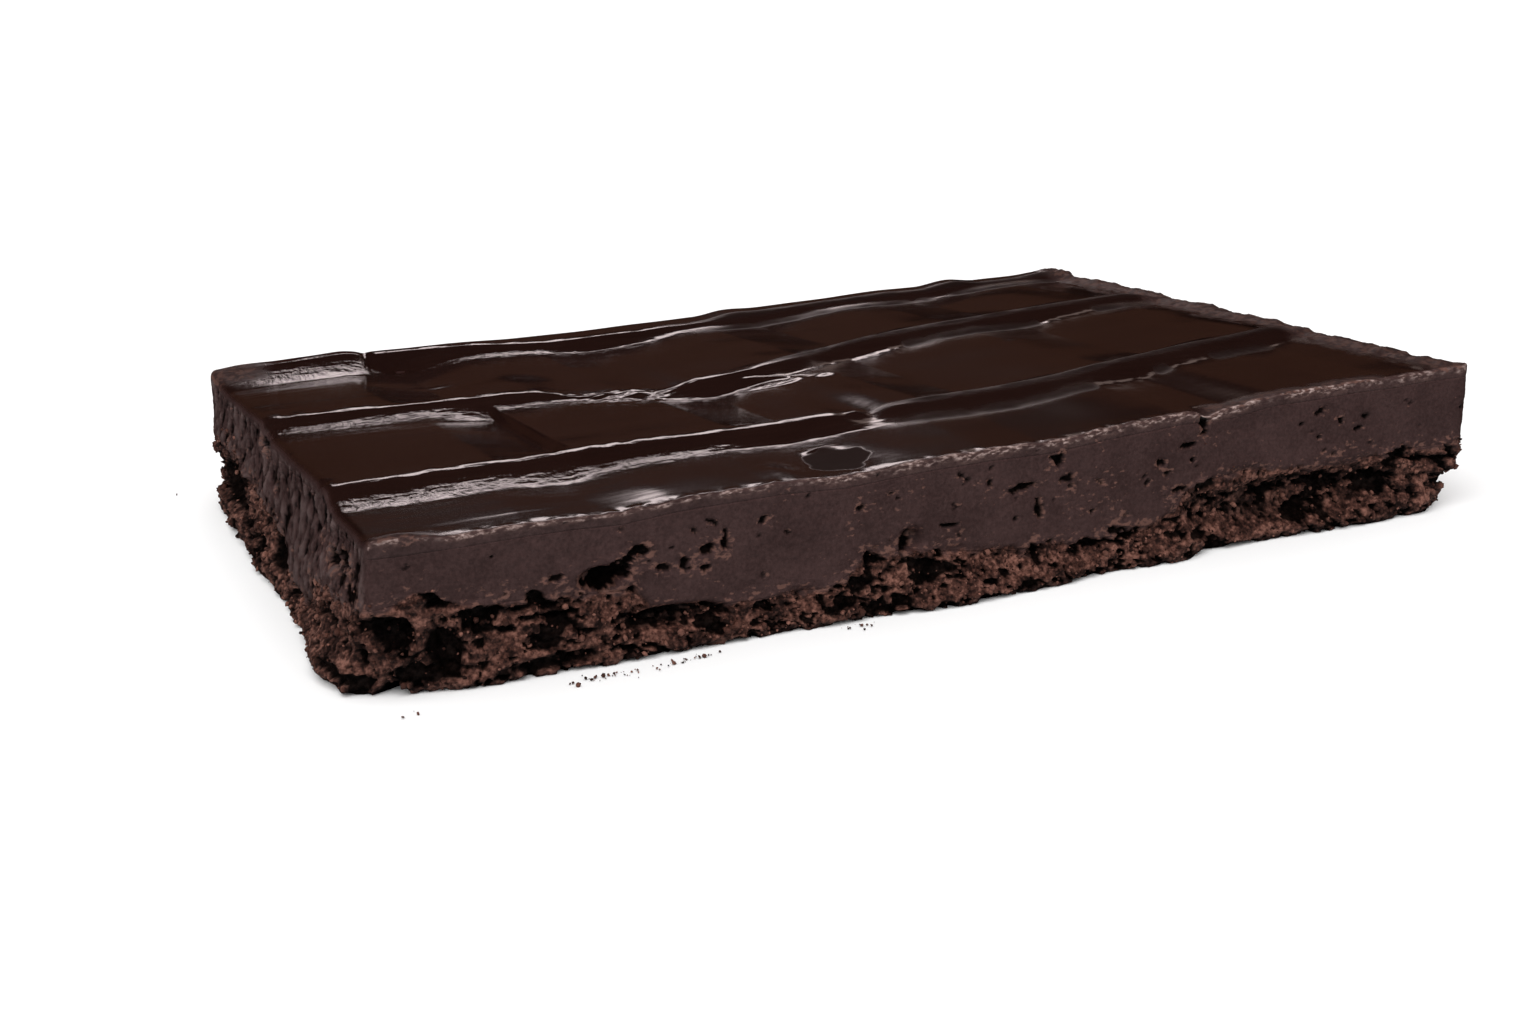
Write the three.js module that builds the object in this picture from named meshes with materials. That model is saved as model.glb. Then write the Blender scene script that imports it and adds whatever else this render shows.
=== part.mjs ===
// A whole brownie fudge cake baked in a tray: a ragged crumb base, a thick layer of
// dense fudge and a skin of dark icing, spread lengthwise in three rows. Millimetres,
// X along the slab, Y across it with the front at -Y, Z up from the flat underside.
import * as THREE from "three";

// Driving dimensions
const LENGTH = 300;
const WIDTH = 200;
const CORNER_RADIUS = 2.5;
const CORNER_SPREAD = 30; // depth inside a corner where the wall's directions meet
const LAYER_GAP = 0.3;
const CRUMB_BED = 14; // height of the base's top inside the slab
const ICING_BED = 32.6; // height of the fudge's top inside the slab
const ICING_THICKNESS = 3; // at the cut edges
const CAP_INSET = 22; // width of the band that joins a layer's edge to its flat bed

// Level of the icing between its ridges
const ICING_LEVEL = 36.2;
const RIGHT_RISE = 1.8; // the right end stands this much higher
const RIGHT_RISE_REACH = [-60, 150];
const FRONT_RIGHT_RISE = 1.3; // and its front corner this much more
const FRONT_RIGHT_REACH = [[20, 90], [-40, -100], [152, 138]]; // by x, by y and at the end
const BACK_RIGHT_RISE = 0.9; // and the part behind the front this much
const BACK_RIGHT_REACH = [-95, -60];
const END_RIM = 39.3; // height to which the icing is drawn up at the right end
const END_RIM_REACH = [134, 147];

// Lengthwise ridges of the icing, from front to back, each with its crest line as [x, y],
// and then by x its height, the width of the slope in front of it, and how much of that
// slope is even; the rest steepens towards the crest
const RIDGES = [
  {
    crest: [[-150, -55], [30, -55], [100, -43.5], [150, -36]],
    height: [[-150, 3.4], [-20, 3.2], [-8, 1.6], [0, 3.1], [130, 3.1], [150, 0.8]],
    width: [[-150, 11], [-92, 13], [-83, 7], [-31, 7.5], [30, 8.5], [100, 8.5], [150, 6]],
    even: [[-92, 0.42], [-82, 0.35], [-30, 0.9], [0, 1]],
  },
  {
    crest: [[-150, 25], [-75, 18.5], [-37, 6], [0, 15], [25, 24], [60, 31], [150, 36]],
    height: [[-150, 3.4], [-78, 3], [-60, 0.9], [-42, 1.2], [-30, 3.1], [128, 3.1], [150, 0.6]],
    width: [
      [-150, 8], [-134, 9], [-109, 15], [-95, 12], [-80, 6], [-20, 7], [10, 6.5], [85, 7.5],
      [135, 6],
    ],
    even: [[-95, 0.45], [-85, 0.3], [-20, 0.8], [0, 1], [110, 1], [135, 0.6]],
  },
  {
    crest: [[-150, 97], [-105, 97], [-60, 93], [-40, 89], [0, 90], [30, 92], [150, 94]],
    height: [
      [-150, 3.7], [-141, 4.6], [-122, 4.9], [-113, 5.3], [-103, 4], [-80, 3.7], [-57, 2.7],
      [-35, 2.5], [5, 2.1], [16, 3.1], [28, 2.5], [70, 2.5], [88, 1.8], [100, 3.1], [112, 1.5],
      [126, 1.2], [140, 2.2], [150, 2],
    ],
    width: [[-150, 16], [-112, 14], [-100, 6], [0, 6], [150, 5]],
    even: [[-110, 0.8], [-98, 0.45]],
  },
];
const RIDGE_FALL = 5; // power by which a slope steepens
const LIP_WIDTH = [[-30, 3], [30, 1.5]]; // of the rounded lip at each crest, by x
const LIP_FALL = 0.115; // mean slope of the lip
const TOE = 1.3; // the foot of a slope is rounded over about this length

// Cross ripples of the front, middle and back row, by their valleys: x, depth, over which
// share of the way to the next one the icing rises again, and how much higher it is there
const RIPPLES = [
  [
    [-160, 0, 0.1, 0], [-96, 2, 0.1, 0.6], [-37, 1.8, 0.14, 0.3], [18, 0.7, 0.5, 0],
    [74, 1.6, 0.06, 0], [126, 0.6, 0.3, 0], [190, 0.6, 0.5, 0],
  ],
  [
    [-154, 0, 0.1, 0], [-90, 2.4, 0.03, 0], [-30, 1.8, 0.5, 0], [22, 1.45, 0.6, 0],
    [86, 1.1, 0.6, 0], [144, 0.8, 0.6, 0], [208, 0.8, 0.6, 0],
  ],
  [
    [-161, 0, 0.1, 0], [-97, 2.1, 0.35, 0], [-36, 1.6, 0.6, 0], [22, 1.3, 0.6, 0],
    [81, 1.1, 0.6, 0], [137, 0.9, 0.6, 0], [201, 0.8, 0.6, 0],
  ],
];
const RIPPLE_FALL = 0.72; // the share at which the icing starts to fall to the next valley
const RIPPLE_END = 5; // ripples end this far behind a crest, and at the lip of the next one

// Round the outline a place is its distance from the front left corner, anticlockwise
const PERIMETER = 2 * (LENGTH + WIDTH);

// Top of the crumb base at the walls, as [place, height]
const CRUMB_TOP = [
  [0, 22.5], [14, 22], [22, 19.5], [45, 17.5], [58, 16.5], [66, 10.5], [105, 9], [115, 12],
  [127, 15], [150, 11], [170, 9.5], [198, 8], [205, 12], [210, 17.5], [228, 20], [245, 17],
  [290, 18], [330, 16], [380, 12], [430, 17], [480, 14], [540, 18], [600, 12], [680, 16],
  [740, 10], [800, 17], [830, 19.5], [875, 18], [905, 17], [914, 7], [938, 6], [950, 15],
  [985, 19],
];

// How far the wall stands out at the floor, as [place, distance]
const FOOT = [
  [0, -5], [8, -3.5], [22, 0.5], [60, 1.5], [98, 2], [108, 3.8], [120, 3], [142, 6.6],
  [150, 6], [168, 5.5], [188, 2.5], [205, 5], [218, 0.5], [240, 0.5], [260, 2.4], [285, 2.5],
  [300, -4], [320, -8], [350, -5], [400, -3], [460, -2], [500, -6], [530, 0], [600, 2.5],
  [700, 0], [770, 2], [800, 1], [815, 5], [860, 6], [940, 6], [975, 9.5], [987, 4.5],
];

// How far the wall stands out at the top of the crumb base, as [place, distance]
const WAIST = [
  [0, 1.5], [30, 0.5], [140, 0.5], [285, 0], [300, 1], [330, -1.5], [480, -1.5],
  [500, -5], [520, 0], [780, 0.5], [800, 3], [830, 1.5], [960, 3], [985, 3],
];
const WAIST_REACH = [0.1, 1]; // from where to where the wall leans there, as shares of the height

// How far the icing's edge stands out, as [place, distance]
const BRIM = [
  [0, 0.3], [150, 0], [285, 0], [300, 2], [315, 0], [475, 0], [500, -6], [525, 0],
  [780, 0], [800, 2], [830, 0.3], [985, 0],
];

// Hollows torn in the walls, as [place, height, half length, half height, depth]
const FRONT_HOLLOWS = [
  [1, 15.5, 9, 6, 7],
  [14, 9.5, 7, 7, 4.5],
  [40, 3, 16, 2.2, 2.5],
  [52, 20.5, 7, 3.6, 4.5],
  [68, 8.5, 17, 3.4, 4],
  [131, 17, 4.5, 4, 2.5],
  [217, 11, 10, 7, 4],
  [247, 10.5, 42, 8, 5.5],
];
const LEFT_HOLLOWS = [
  [830, 11.5, 30, 7, 5.5],
  [903, 10, 11, 6, 3.5],
  [971, 25, 6, 2.5, 1.5],
  [998, 0, 6, 4, 6],
];
const HOLLOW_FLOOR = 0.35; // share of a hollow's size over which it is deepest

// The right and back walls are torn at even steps by hollows that a seeded rule draws:
// the least value and the spread of their height, half length, half height and depth
const HIDDEN_START = 322;
const HIDDEN_STEP = 38;
const HIDDEN_COUNT = 12;
const HIDDEN_SIZES = [[4, 9], [8, 14], [3, 3], [2.5, 3]];
const HIDDEN_SEED = 3;

// Relief of the crumb, the fudge and the icing, as the size of a lump and its height
const CRUMB_LUMP = 8;
const CRUMB_FLATNESS = 0.6; // a lump of crumb is this much lower than it is wide
const CRUMB_RELIEF = 1.5;
const CRUMB_EDGE_LUMP = 6; // of the base's top edge
const CRUMB_EDGE_RELIEF = 0.7;
const CRUMB_FADE = 2; // height in which the crumb's relief gives way to the fudge's
const FUDGE_LUMP = 14;
const FUDGE_RELIEF = 0.35;
const ICING_LUMP = 17;
const ICING_RELIEF = 0.25;
const UNDERCUT = 1; // how far the lowest edge is drawn in
const UNDERCUT_HEIGHT = 1.8;

// Cells of the icing's grid along X, and across the parts of its rows
const CELLS_ALONG = 64;
const ROW_CELLS = [5, 5, 7];
const RIDGE_LINES = [-16, -9.5, -5, -2, 0, 3]; // distances from a crest, front to back
const RIM_LINES = [-10, -5, -2, 0];
const RIM_CELLS = 2;
const ICING_WALL_CELLS = 2;
const FUDGE_WALL_CELLS = 6;
const CRUMB_WALL_CELLS = 8;
const CAP_SHARE = 4; // wall columns for each corner of a flat bed, a divisor of their number

const clamp = (value, low, high) => Math.min(Math.max(value, low), high);

function smooth(low, high, value) {
  const t = clamp((value - low) / (high - low), 0, 1);
  return t * t * (3 - 2 * t);
}

// A repeatable number from -1 to 1 for each corner of a lattice
function lattice(i, j, k) {
  const value = Math.sin(i * 127.1 + j * 311.7 + k * 74.7) * 43758.5453;
  return 2 * (value - Math.floor(value)) - 1;
}

// Smooth lumps from -1 to 1 in space, one unit across
function lumps(x, y, z) {
  const cell = [x, y, z].map(Math.floor);
  const ease = [x, y, z].map((value, axis) => smooth(0, 1, value - cell[axis]));
  let sum = 0;
  for (let corner = 0; corner < 8; corner++) {
    const step = [corner & 1, (corner >> 1) & 1, corner >> 2];
    const weight = step.reduce((w, s, axis) => w * (s ? ease[axis] : 1 - ease[axis]), 1);
    sum += weight * lattice(cell[0] + step[0], cell[1] + step[1], cell[2] + step[2]);
  }
  return sum;
}

// A knot of a line by its number; a line round the outline repeats itself
function knotAt(knots, index, period) {
  if (period === 0) return knots[clamp(index, 0, knots.length - 1)];
  const turn = Math.floor(index / knots.length);
  const [place, value] = knots[index - turn * knots.length];
  return [place + turn * period, value];
}

// The tangent where two stretches of a line meet, level at a peak or a dip
function tangent(before, after) {
  return before * after > 0 ? (2 * before * after) / (before + after) : 0;
}

const rise = (a, b) => (b[0] > a[0] ? (b[1] - a[1]) / (b[0] - a[0]) : 0);

// The value at a place on a smooth line through its knots
function follow(knots, place, period = 0) {
  const first = knots[0][0];
  const last = knots[knots.length - 1][0];
  const at = period ? place - period * Math.floor(place / period) : clamp(place, first, last);
  const index = knots.findLastIndex((knot) => knot[0] <= at);
  const [a, b, c, d] = [-1, 0, 1, 2].map((step) => knotAt(knots, index + step, period));
  const width = Math.max(c[0] - b[0], 1e-9);
  const t = clamp((at - b[0]) / width, 0, 1);
  const leave = tangent(rise(a, b), rise(b, c)) * width;
  const arrive = tangent(rise(b, c), rise(c, d)) * width;
  const bend = t * (1 - t) * (leave * (1 - t) - arrive * t);
  return b[1] + (c[1] - b[1]) * smooth(0, 1, t) + bend;
}

// The sharp outline's point at a place
function outlineCorner(place) {
  const at = place - PERIMETER * Math.floor(place / PERIMETER);
  const [halfLength, halfWidth] = [LENGTH / 2, WIDTH / 2];
  if (at <= LENGTH) return [at - halfLength, -halfWidth];
  if (at <= LENGTH + WIDTH) return [halfLength, at - LENGTH - halfWidth];
  if (at <= 2 * LENGTH + WIDTH) return [halfLength + LENGTH + WIDTH - at, halfWidth];
  return [-halfLength, halfWidth + 2 * LENGTH + WIDTH - at];
}

// The nearest point of a rectangle drawn in from the outline
function drawnIn(point, inset) {
  return [
    clamp(point[0], inset - LENGTH / 2, LENGTH / 2 - inset),
    clamp(point[1], inset - WIDTH / 2, WIDTH / 2 - inset),
  ];
}

// The outline with rounded corners, moved outwards by a distance
function outlinePoint(place, distance) {
  const sharp = outlineCorner(place);
  const centre = drawnIn(sharp, CORNER_RADIUS);
  const reach = Math.hypot(sharp[0] - centre[0], sharp[1] - centre[1]);
  const round = centre.map((value, axis) => value + ((sharp[axis] - value) * CORNER_RADIUS) / reach);
  const root = drawnIn(round, CORNER_SPREAD);
  const length = Math.hypot(round[0] - root[0], round[1] - root[1]);
  return round.map((value, axis) => value + ((value - root[axis]) * distance) / length);
}

// The place of a point on the outline
function placeOf(x, y) {
  const [halfLength, halfWidth] = [LENGTH / 2, WIDTH / 2];
  if (y <= -halfWidth) return x + halfLength;
  if (x >= halfLength) return LENGTH + y + halfWidth;
  if (y >= halfWidth) return LENGTH + WIDTH + halfLength - x;
  return 2 * LENGTH + WIDTH + halfWidth - y;
}

// Heights of the icing

function level(x, y) {
  const [alongX, alongY, atEnd] = FRONT_RIGHT_REACH;
  const corner = smooth(...alongX, x) * smooth(...alongY, y) * smooth(...atEnd, x);
  const rightRise = RIGHT_RISE + BACK_RIGHT_RISE * smooth(...BACK_RIGHT_REACH, y);
  return ICING_LEVEL + rightRise * smooth(...RIGHT_RISE_REACH, x) + FRONT_RIGHT_RISE * corner;
}

// The height of a ridge so far in front of its crest: a rounded lip, a fall and a toe
function ridgeSlope(ridge, x, ahead) {
  const lipWidth = follow(LIP_WIDTH, x);
  const width = follow(ridge.width, x);
  const even = follow(ridge.even, x);
  const drop = LIP_FALL * lipWidth;
  const lip = drop * (1 - clamp(ahead / lipWidth, 0, 1) ** 2);
  const straight = 1 - Math.max(ahead - lipWidth, 0) / width;
  const left = (straight + Math.hypot(straight, TOE / width)) / 2;
  const fall = even * left + (1 - even) * left ** RIDGE_FALL;
  return lip + (follow(ridge.height, x) - drop) * fall;
}

// The height of the cross ripples over the level between them
function ripple(x, row) {
  const next = RIPPLES[row].findIndex(([valley]) => valley > x);
  const [from, depth, riseShare, lip] = RIPPLES[row][next - 1];
  const [to, nextDepth] = RIPPLES[row][next];
  const share = (x - from) / (to - from);
  const risen = smooth(0, riseShare, share);
  const fallen = clamp((share - RIPPLE_FALL) / (1 - RIPPLE_FALL), 0, 1);
  const higher = lip * risen * (1 - smooth(riseShare, RIPPLE_FALL, share));
  return higher - depth * (1 - risen) - nextDepth * fallen;
}

// How much of a ripple there is so far ahead of a ridge's lip and behind the one before it
function rippleShare(ridge, x, ahead, behind) {
  const slopes = (ahead - follow(LIP_WIDTH, x)) / follow(ridge.width, x);
  return smooth(0, 1, slopes) * smooth(0, RIPPLE_END, behind);
}

// The ridge lines at an x, from front to back
const crests = (x) => RIDGES.map((ridge) => follow(ridge.crest, x));

// The icing in one row, before it is drawn up at the right end
function rowHeight(x, y) {
  const lines = crests(x);
  const row = lines.filter((crest) => crest <= y).length;
  const ground = level(x, y) + ICING_RELIEF * lumps(x / ICING_LUMP, y / ICING_LUMP, 0);
  const tail = row > 0 ? follow(RIDGES[row - 1].height, x) : 0;
  if (row === lines.length) return ground + tail;
  const start = row > 0 ? lines[row - 1] : -WIDTH / 2;
  const share = (y - start) / (lines[row] - start);
  const ahead = lines[row] - y;
  const behind = row > 0 ? y - start : RIPPLE_END;
  const wave = ripple(x, row) * rippleShare(RIDGES[row], x, ahead, behind);
  return ground + tail * (1 - share) + ridgeSlope(RIDGES[row], x, ahead) + wave;
}

function icingHeight(x, y) {
  const height = rowHeight(x, y);
  return height + smooth(...END_RIM_REACH, x) * Math.max(END_RIM - height, 0);
}

// Heights and outward reach of the walls

function crumbTop(place) {
  const [x, y] = outlineCorner(place);
  const ragged = lumps(x / CRUMB_EDGE_LUMP, y / CRUMB_EDGE_LUMP, 5);
  return follow(CRUMB_TOP, place, PERIMETER) + CRUMB_EDGE_RELIEF * ragged;
}

function icingTop(place) {
  const [x, y] = outlineCorner(place);
  return icingHeight(x, y);
}

const icingBottom = (place) => icingTop(place) - ICING_THICKNESS;

// One hollow's depth at a point of the wall
function hollowDepth([centre, height, halfLength, halfHeight, depth], place, z) {
  const turn = Math.round((place - centre) / PERIMETER);
  const along = (place - centre - turn * PERIMETER) / halfLength;
  const up = (z - height) / halfHeight;
  return depth * (1 - smooth(HOLLOW_FLOOR, 1, Math.hypot(along, up)));
}

// Hollows of the right and back walls
function hiddenHollow(index) {
  const draw = (kind) => (1 + lattice(index, kind, HIDDEN_SEED)) / 2;
  const place = HIDDEN_START + HIDDEN_STEP * (index + draw(0) / 2);
  return [place, ...HIDDEN_SIZES.map(([least, spread], kind) => least + spread * draw(kind + 1))];
}

const HOLLOWS = [
  ...FRONT_HOLLOWS,
  ...LEFT_HOLLOWS,
  ...Array.from({ length: HIDDEN_COUNT }, (_, index) => hiddenHollow(index)),
];

// The wall between the floor and the icing: the crumb swells or draws in, the fudge leans
function wallReach(place, z) {
  const split = crumbTop(place);
  const foot = follow(FOOT, place, PERIMETER);
  const waist = follow(WAIST, place, PERIMETER);
  const brim = follow(BRIM, place, PERIMETER);
  if (z > split) return waist + (brim - waist) * smooth(split, ICING_BED, z);
  return waist + (foot - waist) * (1 - smooth(...WAIST_REACH, z / split));
}

function wallPoint(place, z) {
  const [x, y] = outlineCorner(place);
  const inCrumb = 1 - smooth(0, CRUMB_FADE, z - crumbTop(place));
  const lump = lumps(x / CRUMB_LUMP, y / CRUMB_LUMP, z / (CRUMB_FLATNESS * CRUMB_LUMP));
  const rough = CRUMB_RELIEF * lump;
  const soft = FUDGE_RELIEF * lumps(x / FUDGE_LUMP, y / FUDGE_LUMP, z / FUDGE_LUMP);
  const torn = Math.max(...HOLLOWS.map((hollow) => hollowDepth(hollow, place, z)));
  const under = UNDERCUT * (1 - smooth(0, UNDERCUT_HEIGHT, z));
  const reach = wallReach(place, z) + inCrumb * rough + (1 - inCrumb) * soft - torn - under;
  return [...outlinePoint(place, reach), z];
}

// The icing's grid: its lines run along the ridges

function between(low, high, cells) {
  return Array.from({ length: cells }, (_, index) => low + ((high - low) * index) / cells);
}

function gridLines(x) {
  const lines = [];
  let from = -WIDTH / 2;
  crests(x).forEach((crest, row) => {
    const steps = row < 2 ? RIDGE_LINES : RIM_LINES;
    lines.push(...between(from, crest + steps[0], ROW_CELLS[row]));
    lines.push(...steps.slice(0, -1).map((step) => crest + step));
    from = crest + steps[steps.length - 1];
  });
  lines.push(...between(from, WIDTH / 2, RIM_CELLS), WIDTH / 2);
  return lines;
}

const GRID_X = [...between(-LENGTH / 2, LENGTH / 2, CELLS_ALONG), LENGTH / 2];
const GRID_Y = GRID_X.map(gridLines);
const CELLS_ACROSS = GRID_Y[0].length - 1;

// The grid's border as pairs of numbers, anticlockwise from the front left corner
function borderCells() {
  const [n, m] = [CELLS_ALONG, CELLS_ACROSS];
  const front = Array.from({ length: n }, (_, k) => [k, 0]);
  const right = Array.from({ length: m }, (_, k) => [n, k]);
  const back = Array.from({ length: n }, (_, k) => [n - k, m]);
  const left = Array.from({ length: m }, (_, k) => [0, m - k]);
  return [...front, ...right, ...back, ...left];
}

const BORDER = borderCells();
const PLACES = BORDER.map(([i, j]) => placeOf(GRID_X[i], GRID_Y[i][j]));

// A surface that grows point by point and triangle by triangle
class Surface {
  points = [];
  triangles = [];

  add(point) {
    this.points.push(point);
    return this.points.length - 1;
  }

  loop(points) {
    return points.map((point) => this.add(point));
  }

  quad(a, b, c, d) {
    this.triangles.push([a, b, c], [a, c, d]);
  }

  // A band between two loops of the same length, the first one below
  band(low, high) {
    low.forEach((point, k) => {
      const next = (k + 1) % low.length;
      this.quad(point, low[next], high[next], high[k]);
    });
  }

  // A cap that closes a loop: a sloping band to a flat bed with fewer corners
  cap(edge, heights, facesUp) {
    const bed = [];
    for (let k = 0; k < edge.length; k += CAP_SHARE) {
      bed.push(this.add([...outlinePoint(PLACES[k], -CAP_INSET), heights]));
    }
    const centre = this.add([0, 0, heights]);
    const turn = (a, b, c) => this.triangles.push(facesUp ? [a, b, c] : [a, c, b]);
    edge.forEach((point, k) => {
      turn(point, edge[(k + 1) % edge.length], bed[Math.floor(k / CAP_SHARE)]);
    });
    bed.forEach((point, k) => {
      const next = bed[(k + 1) % bed.length];
      turn(edge[((k + 1) * CAP_SHARE) % edge.length], next, point);
      turn(point, next, centre);
    });
  }

  mesh(name, material) {
    const geometry = new THREE.BufferGeometry();
    geometry.setAttribute("position", new THREE.Float32BufferAttribute(this.points.flat(), 3));
    geometry.setIndex(this.triangles.flat());
    geometry.computeVertexNormals();
    const mesh = new THREE.Mesh(geometry, material);
    mesh.name = name;
    return mesh;
  }
}

// Loops of wall points from a low edge to a high edge, both given by place
function wallLoops(surface, low, high, cells) {
  const loops = [];
  for (let row = 0; row <= cells; row++) {
    const share = row / cells;
    const points = PLACES.map((p) => wallPoint(p, low(p) + (high(p) - low(p)) * share));
    loops.push(surface.loop(points));
    if (row > 0) surface.band(loops[row - 1], loops[row]);
  }
  return loops;
}

// A layer with a flat or sloping cap on either side
function layer(name, material, low, high, cells, lowBed, highBed) {
  const surface = new Surface();
  const loops = wallLoops(surface, low, high, cells);
  surface.cap(loops[0], lowBed, false);
  surface.cap(loops[cells], highBed, true);
  return surface.mesh(name, material);
}

function crumbBase() {
  const material = new THREE.MeshStandardMaterial({ color: 0x45291f, roughness: 0.95, metalness: 0 });
  const top = (place) => crumbTop(place) - LAYER_GAP / 2;
  const bed = CRUMB_BED - LAYER_GAP / 2;
  return layer("crumb_base", material, () => 0, top, CRUMB_WALL_CELLS, 0, bed);
}

function fudgeLayer() {
  const material = new THREE.MeshStandardMaterial({ color: 0x3d2a28, roughness: 0.8, metalness: 0 });
  const low = (place) => crumbTop(place) + LAYER_GAP / 2;
  const high = (place) => icingBottom(place) - LAYER_GAP / 2;
  const beds = [CRUMB_BED + LAYER_GAP / 2, ICING_BED - LAYER_GAP / 2];
  return layer("fudge_layer", material, low, high, FUDGE_WALL_CELLS, ...beds);
}

// The icing: a grid of heights on top, a thin cut edge and a bed that fits the fudge
function icing() {
  const material = new THREE.MeshStandardMaterial({ color: 0x24130e, roughness: 0.3, metalness: 0 });
  const surface = new Surface();
  const low = (place) => icingBottom(place) + LAYER_GAP / 2;
  const loops = wallLoops(surface, low, icingTop, ICING_WALL_CELLS);
  surface.cap(loops[0], ICING_BED + LAYER_GAP / 2, false);
  const edge = new Map(BORDER.map(([i, j], k) => [`${i},${j}`, loops[ICING_WALL_CELLS][k]]));
  const grid = GRID_X.map((x, i) =>
    GRID_Y[i].map((y, j) => edge.get(`${i},${j}`) ?? surface.add([x, y, icingHeight(x, y)])),
  );
  for (let i = 0; i < CELLS_ALONG; i++) {
    for (let j = 0; j < CELLS_ACROSS; j++) {
      surface.quad(grid[i][j], grid[i + 1][j], grid[i + 1][j + 1], grid[i][j + 1]);
    }
  }
  return surface.mesh("icing", material);
}

const cake = new THREE.Group();
cake.add(crumbBase(), fudgeLayer(), icing());

export default cake;
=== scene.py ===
"""A whole brownie fudge cake: ragged crumb base, dense fudge and glossy dark icing, on a pale floor."""

from math import cos, pi, radians, sin, tan

import bpy
import numpy as np
from mathutils import Matrix, Vector


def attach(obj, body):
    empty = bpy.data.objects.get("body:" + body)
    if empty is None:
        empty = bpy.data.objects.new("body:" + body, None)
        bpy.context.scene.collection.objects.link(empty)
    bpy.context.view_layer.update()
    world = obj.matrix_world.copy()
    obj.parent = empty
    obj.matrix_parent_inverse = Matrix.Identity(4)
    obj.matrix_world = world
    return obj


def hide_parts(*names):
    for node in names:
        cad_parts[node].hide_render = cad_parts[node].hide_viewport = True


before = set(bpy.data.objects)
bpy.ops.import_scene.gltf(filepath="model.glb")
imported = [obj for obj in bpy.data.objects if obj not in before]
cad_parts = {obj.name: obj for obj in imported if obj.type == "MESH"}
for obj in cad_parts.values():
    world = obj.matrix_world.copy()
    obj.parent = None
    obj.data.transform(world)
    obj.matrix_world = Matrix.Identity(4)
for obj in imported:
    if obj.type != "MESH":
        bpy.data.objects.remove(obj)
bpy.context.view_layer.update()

MM = 0.001  # sizes below are in millimetres, and every mesh is written in metres

# Size of the slab and its layers
LENGTH = 300
WIDTH = 200
PERIMETER = 2 * (LENGTH + WIDTH)
CORNER_RADIUS = 2.5
CORNER_SPREAD = 30  # depth inside a corner where the wall's directions meet
CRUMB_BED = 14
ICING_BED = 32.6
ICING_THICKNESS = 3
LAYER_GAP = 0.3
CAP_INSET = 22
CAP_SHARE = 16  # a flat bed has a corner for every this many wall columns

# Level of the icing between its ridges
ICING_LEVEL = 36.2
RIGHT_RISE = 1.8
FRONT_RIGHT_RISE = 1.3
BACK_RIGHT_RISE = 0.9

# Lengthwise ridges, from front to back: crest lines as [x, y], then by x their height, how
# wide the slope in front of them is, and how much of that slope is even
CRESTS = [
    [[-150, -55], [30, -55], [100, -43.5], [150, -36]],
    [[-150, 25], [-75, 18.5], [-37, 6], [0, 15], [25, 24], [60, 31], [150, 36]],
    [[-150, 97], [-105, 97], [-60, 93], [-40, 89], [0, 90], [30, 92], [150, 94]],
]
RIDGE_HEIGHTS = [
    [[-150, 3.4], [-20, 3.2], [-8, 1.6], [0, 3.1], [130, 3.1], [150, 0.8]],
    [[-150, 3.4], [-78, 3], [-60, 0.9], [-42, 1.2], [-30, 3.1], [128, 3.1], [150, 0.6]],
    [[-150, 3.7], [-141, 4.6], [-122, 4.9], [-113, 5.3], [-103, 4], [-80, 3.7], [-57, 2.7],
     [-35, 2.5], [5, 2.1], [16, 3.1], [28, 2.5], [70, 2.5], [88, 1.8], [100, 3.1], [112, 1.5],
     [126, 1.2], [140, 2.2], [150, 2]],
]
FOOT_WIDTHS = [
    [[-150, 11], [-92, 13], [-83, 7], [-31, 7.5], [30, 8.5], [100, 8.5], [150, 6]],
    [[-150, 8], [-134, 9], [-109, 15], [-95, 12], [-80, 6], [-20, 7], [10, 6.5], [85, 7.5],
     [135, 6]],
    [[-150, 16], [-112, 14], [-100, 6], [0, 6], [150, 5]],
]
FOOT_SHARES = [
    [[-92, 0.42], [-82, 0.35], [-30, 0.9], [0, 1]],
    [[-95, 0.45], [-85, 0.3], [-20, 0.8], [0, 1], [110, 1], [135, 0.6]],
    [[-110, 0.8], [-98, 0.45]],
]
RIDGE_FALL = 5  # power by which the rest of the slope steepens towards the crest
LIP_WIDTHS = [[-30, 3], [30, 1.5]]  # of the rounded lip at each crest, by x
LIP_FALL = 0.115  # mean slope of the lip

# Length over which the foot of each slope is rounded, by x: the longer it is, the more it shines
TOES = [
    [[-30, 1.3], [-12, 0.6], [52, 0.5], [64, 2.6], [76, 3], [83, 0.6], [90, 2.4], [99, 2], [106, 0.4],
     [122, 0.4], [130, 2], [138, 1.6], [145, 0.5]],
    [[-60, 1.3], [-24, 1.5], [-14, 0.5], [-6, 2.4], [8, 1.4], [20, 3], [36, 3.4], [46, 0.5], [66, 0.3],
     [90, 0.4], [98, 2.8], [110, 2.8], [119, 0.4]],
    [[-60, 1.3], [-30, 1.8], [-8, 2.2], [4, 0.5], [80, 0.4], [92, 1.6], [104, 0.5]],
]
TOE_RAGGED = 0.4  # share by which a foot's length varies

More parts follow.
